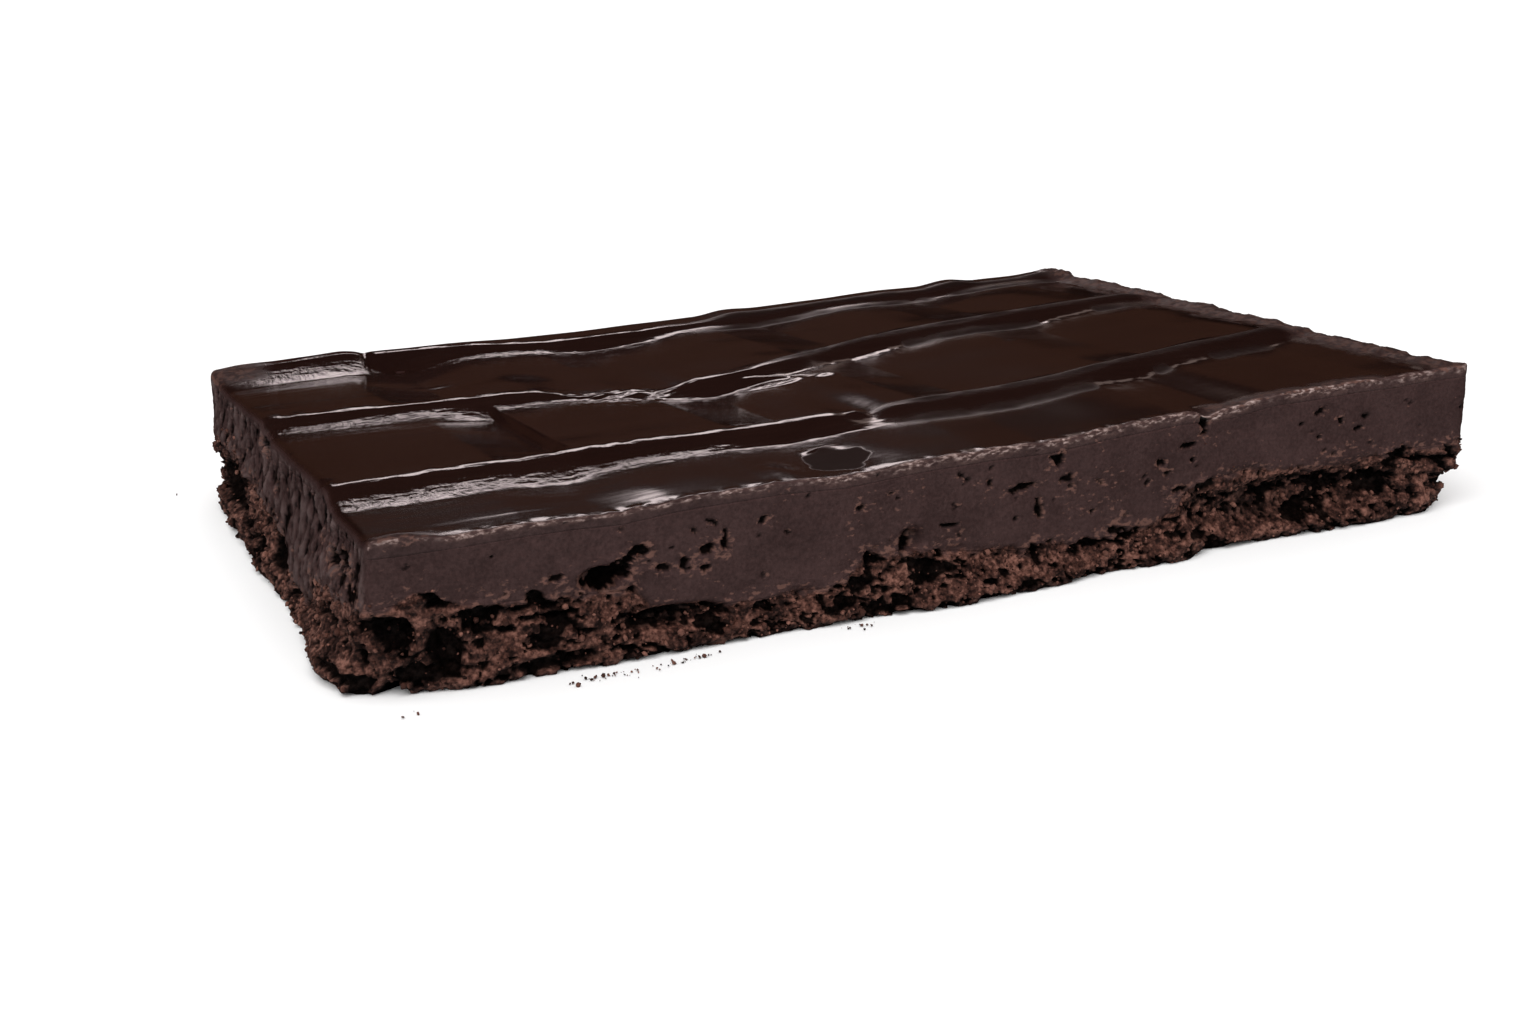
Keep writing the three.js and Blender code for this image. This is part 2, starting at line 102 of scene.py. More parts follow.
# Cross ripples of the front, middle and back row, by their valleys: x, depth, over which
# share of the way to the next valley the icing rises again, and how much higher it is there
RIPPLES = [
    [[-160, 0, 0.1, 0], [-96, 0.9, 0.3, 0.1], [-37, 0.9, 0.4, 0], [18, 0.7, 0.5, 0],
     [74, 1, 0.3, 0], [126, 0.5, 0.3, 0], [190, 0.6, 0.5, 0]],
    [[-154, 0, 0.1, 0], [-90, 2.4, 0.03, 0], [-30, 1.8, 0.5, 0], [22, 1.45, 0.6, 0],
     [86, 1.1, 0.6, 0], [144, 0.8, 0.6, 0], [208, 0.8, 0.6, 0]],
    [[-161, 0, 0.1, 0], [-97, 2.1, 0.35, 0], [-36, 1.6, 0.6, 0], [22, 1.3, 0.6, 0],
     [81, 1.1, 0.6, 0], [137, 0.9, 0.6, 0], [201, 0.8, 0.6, 0]],
]
RIPPLE_FALL = 0.72  # the share at which the icing starts to fall to the next valley
END_RIM = 39.3  # height to which the icing is drawn up at the right end
END_RIM_REACH = [134, 147]

# Round the outline a place is its distance from the front left corner, anticlockwise.
# Top of the crumb base at the walls, as [place, height]
CRUMB_TOP = [
    [0, 22.5], [14, 22], [22, 19.5], [45, 17.5], [58, 16.5], [66, 10.5], [105, 9], [115, 12],
    [127, 15], [150, 11], [170, 9.5], [198, 8], [205, 12], [210, 17.5], [228, 20], [245, 17],
    [290, 18], [330, 16], [380, 12], [430, 17], [480, 14], [540, 18], [600, 12], [680, 16],
    [740, 10], [800, 17], [830, 19.5], [875, 18], [905, 17], [914, 7], [938, 6], [950, 15],
    [985, 19],
]

# How far the wall stands out at the floor, at the top of the crumb base and at the icing
FOOT = [
    [0, -5], [8, -3.5], [22, 0.5], [60, 1.5], [98, 2], [108, 3.8], [120, 3], [142, 6.6],
    [150, 6], [168, 5.5], [188, 2.5], [205, 5], [218, 0.5], [240, 0.5], [260, 2.4], [285, 2.5],
    [300, -4], [320, -8], [350, -5],
    [400, -3], [460, -2], [500, -6], [530, 0], [600, 2.5], [700, 0], [770, 2], [800, 1],
    [815, 5], [860, 6], [940, 6], [975, 9.5], [987, 6.5],
]
WAIST = [
    [0, 1.5], [30, 0.5], [140, 0.5], [285, 0], [300, 1], [330, -1.5], [480, -1.5],
    [500, -5], [520, 0], [780, 0.5], [800, 3], [830, 1.5], [960, 3], [985, 3],
]
BRIM = [
    [0, 0.3], [150, 0], [285, 0], [300, 2], [315, 0], [475, 0], [500, -6], [525, 0],
    [780, 0], [800, 2], [830, 0.3], [985, 0],
]

# Large hollows torn in the walls, as [place, height, half length, half height, depth]
HOLLOWS = [
    [1, 15.5, 9, 6, 7], [14, 9.5, 7, 7, 4.5], [40, 3, 16, 2.2, 2.5], [52, 20.5, 7, 3.6, 4.5],
    [68, 8.5, 17, 3.4, 4], [131, 17, 4.5, 4, 2.5], [217, 11, 10, 7, 4],
    [247, 10.5, 42, 8, 5.5], [830, 11.5, 30, 7, 5.5], [903, 10, 11, 6, 3.5],
    [971, 25, 6, 2.5, 1.5], [998, 0, 6, 4, 6],
]
HIDDEN_START = 322
HIDDEN_STEP = 38
HIDDEN_COUNT = 12

# How much darker painted shade makes the walls for each millimetre of a hollow's depth, by place
HOLLOW_SHADES = [
    [0, 0.35], [20, 0.25], [45, 0.12], [200, 0.12], [215, 0.05], [290, 0.05], [320, 0.2],
    [780, 0.2], [810, 0.32], [985, 0.3],
]

# Relief of the layers, as the size of a lump and its height
CRUMB_LUMP = 8
CRUMB_RELIEF = 1.5
FUDGE_LUMP = 14
FUDGE_RELIEF = 0.35
ICING_LUMP = 17
ICING_RELIEF = 0.25
UNDERCUT = 1
UNDERCUT_HEIGHT = 1.8

# Pores of the walls, as [place, height, half length, half height, depth, slant]
PORES = [
    [54, 20.3, 5.6, 2.6, 3.2, 0.25], [58, 23.6, 3.2, 1.4, 2.4, 0.3], [61.5, 25.7, 2.6, 1.4, 2.4, 0],
    [67.3, 20.6, 1.9, 0.9, 1.6, -0.1], [72.5, 20.6, 1.7, 1.6, 1.8, 0], [78.2, 23.4, 2.2, 1.4, 2, 0],
    [82.6, 24.2, 1.1, 2, 2, 0.5], [77, 18.8, 1.2, 0.9, 1.4, 0], [41, 22.6, 1.8, 0.8, 1.2, 0],
    [80, 29, 1.5, 0.7, 1, -0.4], [35, 14.3, 2.6, 1, 1.6, 0], [24.5, 13.4, 5, 1.1, 2, -0.2],
    [42, 13.8, 4.2, 1.1, 2, 0], [129.5, 16.5, 2, 2.8, 2.4, 0.4], [141.5, 19, 2.2, 0.6, 1.2, -0.1],
    [119, 14, 1, 2.4, 1.8, -0.3], [152.5, 28, 0.9, 0.9, 1.2, 0], [161.8, 25.3, 3.4, 0.9, 2, 0.1],
    [166.5, 19.4, 1.3, 1.8, 1.8, -0.4], [172, 31, 1.8, 1.7, 2, 0.3], [174.5, 25.7, 2.2, 0.9, 1.6, 0],
    [165.2, 8, 1.6, 2.4, 2.2, 0.2], [181, 8.2, 4.4, 1, 2, -0.1], [188.5, 10.6, 2.6, 1, 1.8, -0.1],
    [202.4, 26, 1.5, 1, 1.7, 0.1], [212.3, 25.1, 1, 0.8, 1.5, 0], [210.6, 29.3, 2.8, 0.7, 1.5, 0.1],
    [208.5, 18.1, 2.4, 0.8, 1.6, 0.1], [215.5, 34.6, 1.4, 3, 2.4, -0.6], [252, 32.6, 1.8, 0.7, 1.2, 0],
    [258.8, 29.6, 1.2, 1, 1.5, 0], [264.8, 26.4, 1.9, 0.6, 1.2, 0.1], [287, 15.2, 10, 0.8, 2.2, -0.15],
    [979, 27.5, 4.6, 2.2, 2, 0], [969, 26, 3.8, 2, 2, 0], [953, 27, 2.4, 1.2, 1.6, 0],
    [898, 26.5, 2.2, 1.8, 1.8, 0], [867, 20.8, 3, 2.2, 2.2, 0], [882.5, 34, 5, 2.2, 3, 0],
]
SMALL_PORES = 260
WIDE_PORES = 70  # on the right and back walls
CLINGING_CRUMBS = 3600

# Small forms of the icing, as [x, y, half length, half width, height]
BUMPS = [
    [-49, -90, 4.5, 7, 0.6], [-31, -85, 6, 7, -0.8], [-11.5, -56.5, 2.6, 1.7, 0.9],
    [-80, -89, 3.5, 5, 0.12],
    [-31, -75, 3.4, 1.3, 0.8], [5, -3, 3.4, 1.8, 0.7], [-143, -98, 8, 3, 1.7],
    [-105, 93, 1.6, 5, -1.4], [-150, -51, 3, 2, -0.9], [-150, 20, 4, 2.6, -1], [67, -99, 3, 3, -1.6],
    [-94, 53, 5, 1.6, 0.35], [70, 2, 3, 1.2, 0.5],
]

# Radius of the icing's edge in front, on the right, at the back and on the left
EDGE_RADII = [0.7, 1.4, 1.6, 2.2]
EDGE_FADE = 16  # depth in which the grid takes up the shift of its border

# Cells of the icing's grid along X, and across by the marks of each line
EDGE_STEPS = np.array([0, 0.1, 0.35, 0.8, 1.4, 2.1, 3])
CELLS_ALONG = 512
CELLS_AT_MARKS = [0, 6, 42, 86, 146, 190, 246, 284, 304]
CELLS_ACROSS = CELLS_AT_MARKS[-1]
CRUMB_ROWS = 34
FUDGE_ROWS = 46
ICING_ROWS = 6

# Seeds, one for each thing that is drawn at random
SEED_PORES = 11
SEED_GRAINS = 23
SEED_LOOSE = 37

# Values at the points, which the materials read
LOOKS = ("crumbly", "torn", "painted_shade", "cut", "side", "scraped_and_sheen")


def smooth(low, high, value):
    t = np.clip((value - low) / (high - low), 0, 1)
    return t * t * (3 - 2 * t)


def lattice(i, j, k):
    """A repeatable number from -1 to 1 for each corner of a lattice."""
    value = np.sin(i * 127.1 + j * 311.7 + k * 74.7) * 43758.5453
    return 2 * (value - np.floor(value)) - 1


def lumps(x, y, z):
    """Smooth lumps from -1 to 1 in space, one unit across."""
    x, y, z = np.broadcast_arrays(x, y, z)
    cell = [np.floor(v) for v in (x, y, z)]
    ease = [smooth(0, 1, v - c) for v, c in zip((x, y, z), cell)]
    total = np.zeros(x.shape)
    for corner in range(8):
        step = (corner & 1, corner >> 1 & 1, corner >> 2)
        weight = 1
        for e, s in zip(ease, step):
            weight = weight * (e if s else 1 - e)
        total += weight * lattice(*(c + s for c, s in zip(cell, step)))
    return total


def rough(x, y, z, size, octaves=3):
    """Lumps on lumps, each about half as large as the last and turned against it."""
    total = 0
    x, y, z = x / size, y / size, z / size
    for octave in range(octaves):
        total = total + 0.55**octave * lumps(x, y, z)
        x, y, z = 1.5 * x - 1.3 * y, 1.3 * x + 1.5 * y + 3.7, 2.05 * z + 0.31 * x
    return total


def clods(x, y, z, size):
    """Distance to the nearest of many scattered centres, one to each cell: rounded clods."""
    x, y, z = np.broadcast_arrays(x / size, y / size, z / size)
    i, j, k = np.floor(x), np.floor(y), np.floor(z)
    nearest = np.full(x.shape, 9.0)
    for step in range(27):
        a, b, c = i + step % 3 - 1, j + step // 3 % 3 - 1, k + step // 9 - 1
        away_x = a + 0.5 + 0.45 * lattice(a, b, c) - x
        away_y = b + 0.5 + 0.45 * lattice(a + 57, b, c) - y
        away_z = c + 0.5 + 0.45 * lattice(a, b + 91, c) - z
        nearest = np.minimum(nearest, away_x**2 + away_y**2 + away_z**2)
    return np.sqrt(nearest)


def follow(knots, place, period=0):
    """The value at a place on a smooth line through its knots."""
    at, value = np.array(knots, float).T
    if period:
        place = np.mod(place, period)
        at = np.concatenate([at[-2:] - period, at, at[:2] + period])
        value = np.concatenate([value[-2:], value, value[:2]])
    place = np.clip(place, at[0], at[-1])
    slope = np.diff(value) / np.diff(at)
    both = slope[:-1] * slope[1:]
    tangent = np.zeros(len(at))
    tangent[1:-1] = np.where(both > 0, 2 * both / np.where(both > 0, slope[:-1] + slope[1:], 1), 0)
    k = np.clip(np.searchsorted(at, place, side="right") - 1, 0, len(at) - 2)
    width = at[k + 1] - at[k]
    t = (place - at[k]) / width
    bend = t * (1 - t) * (tangent[k] * width * (1 - t) - tangent[k + 1] * width * t)
    return value[k] + (value[k + 1] - value[k]) * smooth(0, 1, t) + bend


def outline_corner(place):
    """The sharp outline's x and y at a place."""
    at = np.mod(place, PERIMETER)
    corners = [0, LENGTH, LENGTH + WIDTH, 2 * LENGTH + WIDTH, PERIMETER]
    x = np.interp(at, corners, np.array([-1, 1, 1, -1, -1]) * LENGTH / 2)
    y = np.interp(at, corners, np.array([-1, -1, 1, 1, -1]) * WIDTH / 2)
    return x, y


def drawn_in(x, y, inset):
    """The nearest point of a rectangle drawn in from the outline."""
    reach_x, reach_y = LENGTH / 2 - inset, WIDTH / 2 - inset
    return np.clip(x, -reach_x, reach_x), np.clip(y, -reach_y, reach_y)


def outline_point(place, distance):
    """The outline with rounded corners, moved outwards by a distance."""
    sharp_x, sharp_y = outline_corner(place)
    centre_x, centre_y = drawn_in(sharp_x, sharp_y, CORNER_RADIUS)
    share = CORNER_RADIUS / np.hypot(sharp_x - centre_x, sharp_y - centre_y)
    x = centre_x + (sharp_x - centre_x) * share
    y = centre_y + (sharp_y - centre_y) * share
    root_x, root_y = drawn_in(x, y, CORNER_SPREAD)
    length = np.hypot(x - root_x, y - root_y)
    return x + (x - root_x) * distance / length, y + (y - root_y) * distance / length


# Heights of the icing


def level(x, y):
    corner = smooth(20, 90, x) * smooth(40, 100, -y) * smooth(-152, -138, -x)
    rise = RIGHT_RISE + BACK_RIGHT_RISE * smooth(-95, -60, y)
    return ICING_LEVEL + rise * smooth(-60, 150, x) + FRONT_RIGHT_RISE * corner


def ridge_slope(ahead, height, lip_width, width, share, toe):
    """The height so far in front of a crest: a rounded lip, a fall and a rounded toe."""
    drop = LIP_FALL * lip_width
    lip = drop * (1 - np.clip(ahead / lip_width, 0, 1) ** 2)
    left = 1 - np.maximum(ahead - lip_width, 0) / width
    left = (left + np.sqrt(left**2 + (toe / width) ** 2)) / 2
    return lip + (height - drop) * (share * left + (1 - share) * left**RIDGE_FALL)


def ripple(x, row):
    """The height of the cross ripples over the level between them."""
    valleys, depths, rises, lips = np.array(RIPPLES[row]).T
    k = np.clip(np.searchsorted(valleys, x, side="right") - 1, 0, len(valleys) - 2)
    share = (x - valleys[k]) / (valleys[k + 1] - valleys[k])
    risen = smooth(0, rises[k], share)
    fallen = np.clip((share - RIPPLE_FALL) / (1 - RIPPLE_FALL), 0, 1)
    higher = lips[k] * risen * (1 - smooth(rises[k], RIPPLE_FALL, share))
    return higher - depths[k] * (1 - risen) - depths[k + 1] * fallen


def icing_height(x, y):
    """The icing's form, which the solid has too."""
    lines = [follow(crest, x) for crest in CRESTS]
    heights = [follow(knots, x) for knots in RIDGE_HEIGHTS]
    ground = level(x, y) + ICING_RELIEF * lumps(x / ICING_LUMP, y / ICING_LUMP, 0.0)
    total = ground + heights[2]
    lip_width = follow(LIP_WIDTHS, x)
    for row in (2, 1, 0):
        start = lines[row - 1] if row else -WIDTH / 2
        tail = heights[row - 1] if row else 0
        share = (y - start) / (lines[row] - start)
        ahead, width = lines[row] - y, follow(FOOT_WIDTHS[row], x)
        toe = follow(TOES[row], x) * (1 + TOE_RAGGED * rough(x, row, 0.0, 9, 3))
        slope = ridge_slope(ahead, heights[row], lip_width, width, follow(FOOT_SHARES[row], x), toe)
        away = smooth(0, 1, (ahead - lip_width) / width) * (smooth(0, 5, y - start) if row else 1)
        here = ground + tail * (1 - share) + slope + ripple(x, row) * away
        total = np.where(y < lines[row], here, total)
    return total + smooth(*END_RIM_REACH, x) * np.maximum(END_RIM - total, 0)


def near_crest(x, y, row, half_width):
    return np.exp(-(((y - follow(CRESTS[row], x)) / half_width) ** 2))


def icing_detail(x, y):
    """Small forms on the icing: bumps, a torn stretch of the second ridge and drag marks."""
    total = np.zeros(np.broadcast(x, y).shape)
    for centre_x, centre_y, half_length, half_width, height in BUMPS:
        far = ((x - centre_x) / half_length) ** 2 + ((y - centre_y) / half_width) ** 2
        total += height * np.exp(-far)
    loop = np.hypot((x + 13) / 10, (y + 0.5) / 4) - 1
    total += 0.55 * np.exp(-((loop / 0.22) ** 2)) * smooth(-26, -12, x)
    torn = np.exp(-(((x + 53) / 15) ** 2)) * near_crest(x, y + 3, 1, 7)
    total += 0.55 * torn * rough(x, 2.5 * y, 0.0, 7)
    right = smooth(134, 143, x)
    total += right * (0.8 * rough(x, y, 9.0, 6, 4) + 0.5 * np.exp(-(((x - 145) / 1.8) ** 2)))
    total += 0.3 * np.exp(-(((y + 100) / 2.2) ** 2)) * rough(x, y, 3.0, 3.4)
    streaky = 0.2 + 0.8 * smooth(20, -80, x)
    for row in range(3):
        total += 0.12 * streaky * near_crest(x, y, row, 1.8) * lumps(x / 3.1, row, 0.0)
        total += 0.09 * streaky * near_crest(x, y + 9, row, 7) * rough(x, 3.2 * y, row, 3.2, 2)
    total += 0.03 * lumps(x / 16, y / 1.7, 0.0) * smooth(-60, -120, x)
    return total + 0.012 * rough(x, 4 * y, 2.0, 6, 2)


def edge_drop(x, y):
    """How far the icing's rounded edge lies below its form."""
    inset = [y + WIDTH / 2, LENGTH / 2 - x, WIDTH / 2 - y, x + LENGTH / 2]
    deepest = np.zeros(np.broadcast(x, y).shape)
    for distance, radius in zip(inset, EDGE_RADII):
        short = np.clip(radius - distance, 0, radius)
        deepest = np.maximum(deepest, radius - np.sqrt(radius**2 - short**2))
    return deepest


def icing_surface(x, y):
    return icing_height(x, y) + icing_detail(x, y) - edge_drop(x, y)


# Heights and outward reach of the walls


def crumb_top(place):
    x, y = outline_corner(place)
    return follow(CRUMB_TOP, place, PERIMETER) + 0.7 * lumps(x / 6, y / 6, 5.0)


def hidden_hollow(index):
    """A hollow of the right or back wall, drawn by its number."""
    draw = [(1 + float(lattice(index, kind, 3))) / 2 for kind in range(5)]
    place = HIDDEN_START + HIDDEN_STEP * (index + 0.5 * draw[0])
    return [place, 4 + 9 * draw[1], 8 + 14 * draw[2], 3 + 3 * draw[3], 2.5 + 3 * draw[4]]


def turn_to(place, centre):
    """The way along the outline from a centre to a place, the short way round."""
    return np.mod(place - centre + PERIMETER / 2, PERIMETER) - PERIMETER / 2


def hollow_depth(place, z):
    """How deep the large hollows are at points of the wall."""
    deepest = np.zeros(np.broadcast(place, z).shape)
    for centre, height, half_length, half_height, depth in (
        HOLLOWS + [hidden_hollow(index) for index in range(HIDDEN_COUNT)]
    ):
        far = np.hypot(turn_to(place, centre) / half_length, (z - height) / half_height)
        deepest = np.maximum(deepest, depth * (1 - smooth(0.35, 1, far)))
    return deepest


def wall_reach(place, z):
    """How far the wall stands out, without its relief."""
    split = crumb_top(place)
    foot = follow(FOOT, place, PERIMETER)
    waist = follow(WAIST, place, PERIMETER)
    brim = follow(BRIM, place, PERIMETER)
    above = waist + (brim - waist) * smooth(split, ICING_BED, z)
    below = waist + (foot - waist) * (1 - smooth(0.1, 1, z / split))
    return np.where(z > split, above, below)


def wall_form(place, z):
    """The reach of the wall with the relief that the solids have too, but no hollows."""
    x, y = outline_corner(place)
    in_crumb = 1 - smooth(0, 2, z - crumb_top(place))
    crumbly = CRUMB_RELIEF * lumps(x / CRUMB_LUMP, y / CRUMB_LUMP, z / (0.6 * CRUMB_LUMP))
    soft = FUDGE_RELIEF * lumps(x / FUDGE_LUMP, y / FUDGE_LUMP, z / FUDGE_LUMP)
    under = UNDERCUT * (1 - smooth(0, UNDERCUT_HEIGHT, z))
    return wall_reach(place, z) + in_crumb * crumbly + (1 - in_crumb) * soft - under


# Grid of the icing, and the wall's columns at its border


def along_lines():
    """The x of each line of the grid, closer together at the ends."""
    ends = EDGE_STEPS[-1] - LENGTH / 2
    middle = np.linspace(ends, -ends, CELLS_ALONG - 2 * (len(EDGE_STEPS) - 1) + 1)
    left = EDGE_STEPS[:-1] - LENGTH / 2
    return np.concatenate([left, middle, -left[::-1]])


def across_lines(x):
    """The y of each line of the grid at an x: they run along the crests."""
    first, second, rim = (float(follow(crest, x)) for crest in CRESTS)
    front, back = -WIDTH / 2, WIDTH / 2
    marks = [front, front + 3, first - 12, first + 2, second - 12, second + 2, rim - 12, rim, back]
    lines = np.interp(np.arange(CELLS_ACROSS + 1), CELLS_AT_MARKS, marks)
    lines[:len(EDGE_STEPS)] = front + EDGE_STEPS
    last = CELLS_ACROSS - CELLS_AT_MARKS[-2]
    lines[-last - 1:] = back - (back - rim) * np.linspace(1, 0, last + 1) ** 1.6
    return lines


GRID_X = along_lines()
GRID_Y = np.array([across_lines(x) for x in GRID_X])
GRID_X = np.repeat(GRID_X[:, None], CELLS_ACROSS + 1, 1)


def places_of_border():
    """The place of each point of the grid's border, anticlockwise from the front left corner."""
    sides = [
        GRID_X[:-1, 0] + LENGTH / 2,
        LENGTH + GRID_Y[-1, :-1] + WIDTH / 2,
        LENGTH + WIDTH + LENGTH / 2 - GRID_X[:0:-1, -1],
        2 * LENGTH + WIDTH + WIDTH / 2 - GRID_Y[0, :0:-1],
    ]
    return np.concatenate(sides)[:, None]


PLACES = places_of_border()


# Fine relief of the walls, which only the looks have


def all_pores():
    """Pores as [place, height, half length, half height, depth, slant]: the seen ones and drawn ones."""
    rng = np.random.default_rng(SEED_PORES)
    pores = list(PORES)
    for _ in range(SMALL_PORES):
        size = rng.uniform(0.35, 0.8)
        stretch, depth = rng.uniform(1, 1.8), rng.uniform(0.5, 1.1)
        place, height = rng.uniform(0, PERIMETER), rng.uniform(8, 35)
        pores.append([place, height, size * stretch, size, depth, rng.uniform(-0.4, 0.4)])
    for _ in range(WIDE_PORES):
        size = rng.uniform(0.8, 1.9)
        stretch, depth = rng.uniform(1, 2.2), rng.uniform(1.2, 2.4)
        place, height = rng.uniform(LENGTH, 2 * LENGTH + WIDTH), rng.uniform(12, 32)
        pores.append([place, height, size * stretch, size, depth, rng.uniform(-0.4, 0.4)])
    return pores


def pore_relief(x, y, z):
    """Depth of the pores at points of the wall, and how near their torn rims are."""
    depth = np.zeros(z.shape)
    rim = np.zeros(z.shape)
    wobble = rough(x, y, z + 40, 1.6, 2)
    drift = rough(x, y, z + 90, 1.6, 2)
    for centre, height, half_length, half_height, deep, slant in all_pores():
        along = turn_to(PLACES[:, 0], centre)
        near = np.flatnonzero(np.abs(along) < 2.7 * half_length + 2)
        u = along[near][:, None] + 0.5 * half_length * wobble[near]
        v = z[near] - height - slant * u + 0.6 * half_height * drift[near]
        far = np.hypot(u / half_length, v / half_height)
        depth[near] = np.maximum(depth[near], deep * (1 - smooth(0.7, 1.05, far)))
        rim[near] = np.maximum(rim[near], (1 - smooth(1, 2.6, far)) * min(1, half_height))
    return depth, rim


def crumb_gaps(x, y, z):
    """Gaps torn in the crumb, drawn out sideways: 1 where they are deepest."""
    wide = smooth(0.14, 0.45, rough(x, y, 1.8 * z, 8, 4))
    small = smooth(0.2, 0.55, rough(x + 70, y, 1.5 * z, 2.6, 3))
    return np.maximum(wide, 0.7 * small)


def crumb_relief(x, y, z):
    """Torn crumb: broken clods with smaller ones on them."""
    clod = 0.9 * (0.6 - clods(x, y, 1.4 * z, 5))
    grain = 0.5 * (0.55 - clods(x + 31, y, 1.2 * z, 1.5))
    return clod + grain + 0.5 * rough(x, y, 1.3 * z, 3, 3) - 2.4 * crumb_gaps(x, y, z)


def blade_marks(x, y, z):
    """Marks that a blade has drawn down the ends of the slab, from -1 to 1."""
    end = smooth(LENGTH / 2 - 1, LENGTH / 2, np.abs(x)) * smooth(0, 5, WIDTH / 2 - np.abs(y))
    return end * rough(x + 0.4 * z, y + 0.4 * z, 0.38 * z, 2.1, 4)


def fudge_relief(x, y, z):
    """Cut fudge: faint ripples in front, and marks of the blade at the ends."""
    fine = 0.14 * rough(x, y, z, 4) + 0.1 * rough(x, y, z, 1.3, 2)
    return fine + 0.6 * blade_marks(x, y, z)


def blurred(values, radius, axis):
    """The running mean of values along one axis, which goes round for the first."""
    pad = [(0, 0), (0, 0)]
    pad[axis] = (radius + 1, radius)
    spread = np.pad(values, pad, mode="edge" if axis else "wrap").cumsum(axis)
    count = values.shape[axis]
    high = np.take(spread, np.arange(count) + 2 * radius + 1, axis)
    low = np.take(spread, np.arange(count), axis)
    return (high - low) / (2 * radius + 1)


def sunk(reach):
    """How far each point lies behind its neighbourhood."""
    mean = reach
    for _ in range(2):
        mean = blurred(blurred(mean, 4, 0), 4, 1)
    return mean - reach


def row_heights(split, low, high):
    """Heights of the wall's rows at each place: crumb, fudge and the icing's cut edge."""
    parts = [
        split * np.linspace(0, 1, CRUMB_ROWS + 1),
        split + (low - split) * np.linspace(0, 1, FUDGE_ROWS + 1)[1:],
        low + (high - low) * np.linspace(0, 1, ICING_ROWS + 1)[1:],
    ]
    return np.concatenate(parts, 1)


def wall_grid():
    """Points of the whole wall, by place and then by height, with the values of its looks."""
    x, y = outline_corner(PLACES)
    split = crumb_top(PLACES)
    top = icing_height(x, y)
    high = icing_surface(x, y)
    z = row_heights(split, np.minimum(top - ICING_THICKNESS, high - 1), high)
    crumbly = smooth(-0.7, 0.7, split - z + 2.2 * rough(x, y, 1.3 * z, 6, 4))
    crumbly = crumbly * (1 - smooth(4, 1.5, high - z))
    pores, rims = pore_relief(x, y, z)
    hollow = hollow_depth(PLACES, z)
    fade = smooth(-1, 2, high - z)
    fine = crumbly * crumb_relief(x, y, z) + (1 - crumbly) * fudge_relief(x, y, z)
    fine = fine + 0.5 * rims * (1 - crumbly) * rough(x, y, z, 1.2, 2) - pores
    reach = wall_form(PLACES, z) - hollow + fade * fine
    points = np.stack([*outline_point(PLACES, reach), z], -1)
    # Painted shade, which the materials read: darker in hollows and crumb gaps, near the floor, in pores, in the
    # blade's grooves and where the wall lies behind its neighbourhood
    shade = follow(HOLLOW_SHADES, PLACES, PERIMETER) * hollow
    shade = shade + crumb_gaps(x, y, z) + 0.6 * (1 - smooth(0, 3.5, z))
    marks = blade_marks(x, y, z)
    scored = np.maximum(-0.16 - marks, 0)
    deep = crumbly * shade + 0.4 * pores + 1.4 * (1 - crumbly) * scored
    groups = 0.5 * smooth(0.18, 0.5, rough(x, y, 1.5 * z + 20, 9, 4)) * smooth(45, 90, PLACES)
    knob = np.exp(-(((PLACES - 9) / 7) ** 2) - ((z - 37) / 2.5) ** 2)
    crisp = np.where(x < 0.01 - LENGTH / 2, 0.2, 1)
    band = (0.7 + 0.7 * smooth(-70, -20, x)) * (1 + 0.4 * rough(x, y, 0.0, 4, 3))
    looks = {
        "crumbly": crumbly,
        "torn": np.clip(rims + knob + groups + 0.7 * smooth(-7, 0, split - z), 0, 1) * (1 - crumbly),
        # Raised ridges of the blade marks: scraped fudge, painted paler and greyer as a painted sheen
        "scraped_and_sheen": np.clip(1.3 * marks, 0, 1) * (1 - crumbly),
        "painted_shade": np.clip(deep + 0.4 * sunk(fade * fine - hollow), 0, 1),
        # The icing's cut edge, which gets reddish flecks and a pale painted highlight at its top
        "cut": crisp * np.exp(-(((high - z) / band) ** 2)),
        "side": np.ones(z.shape),
    }
    return points, looks


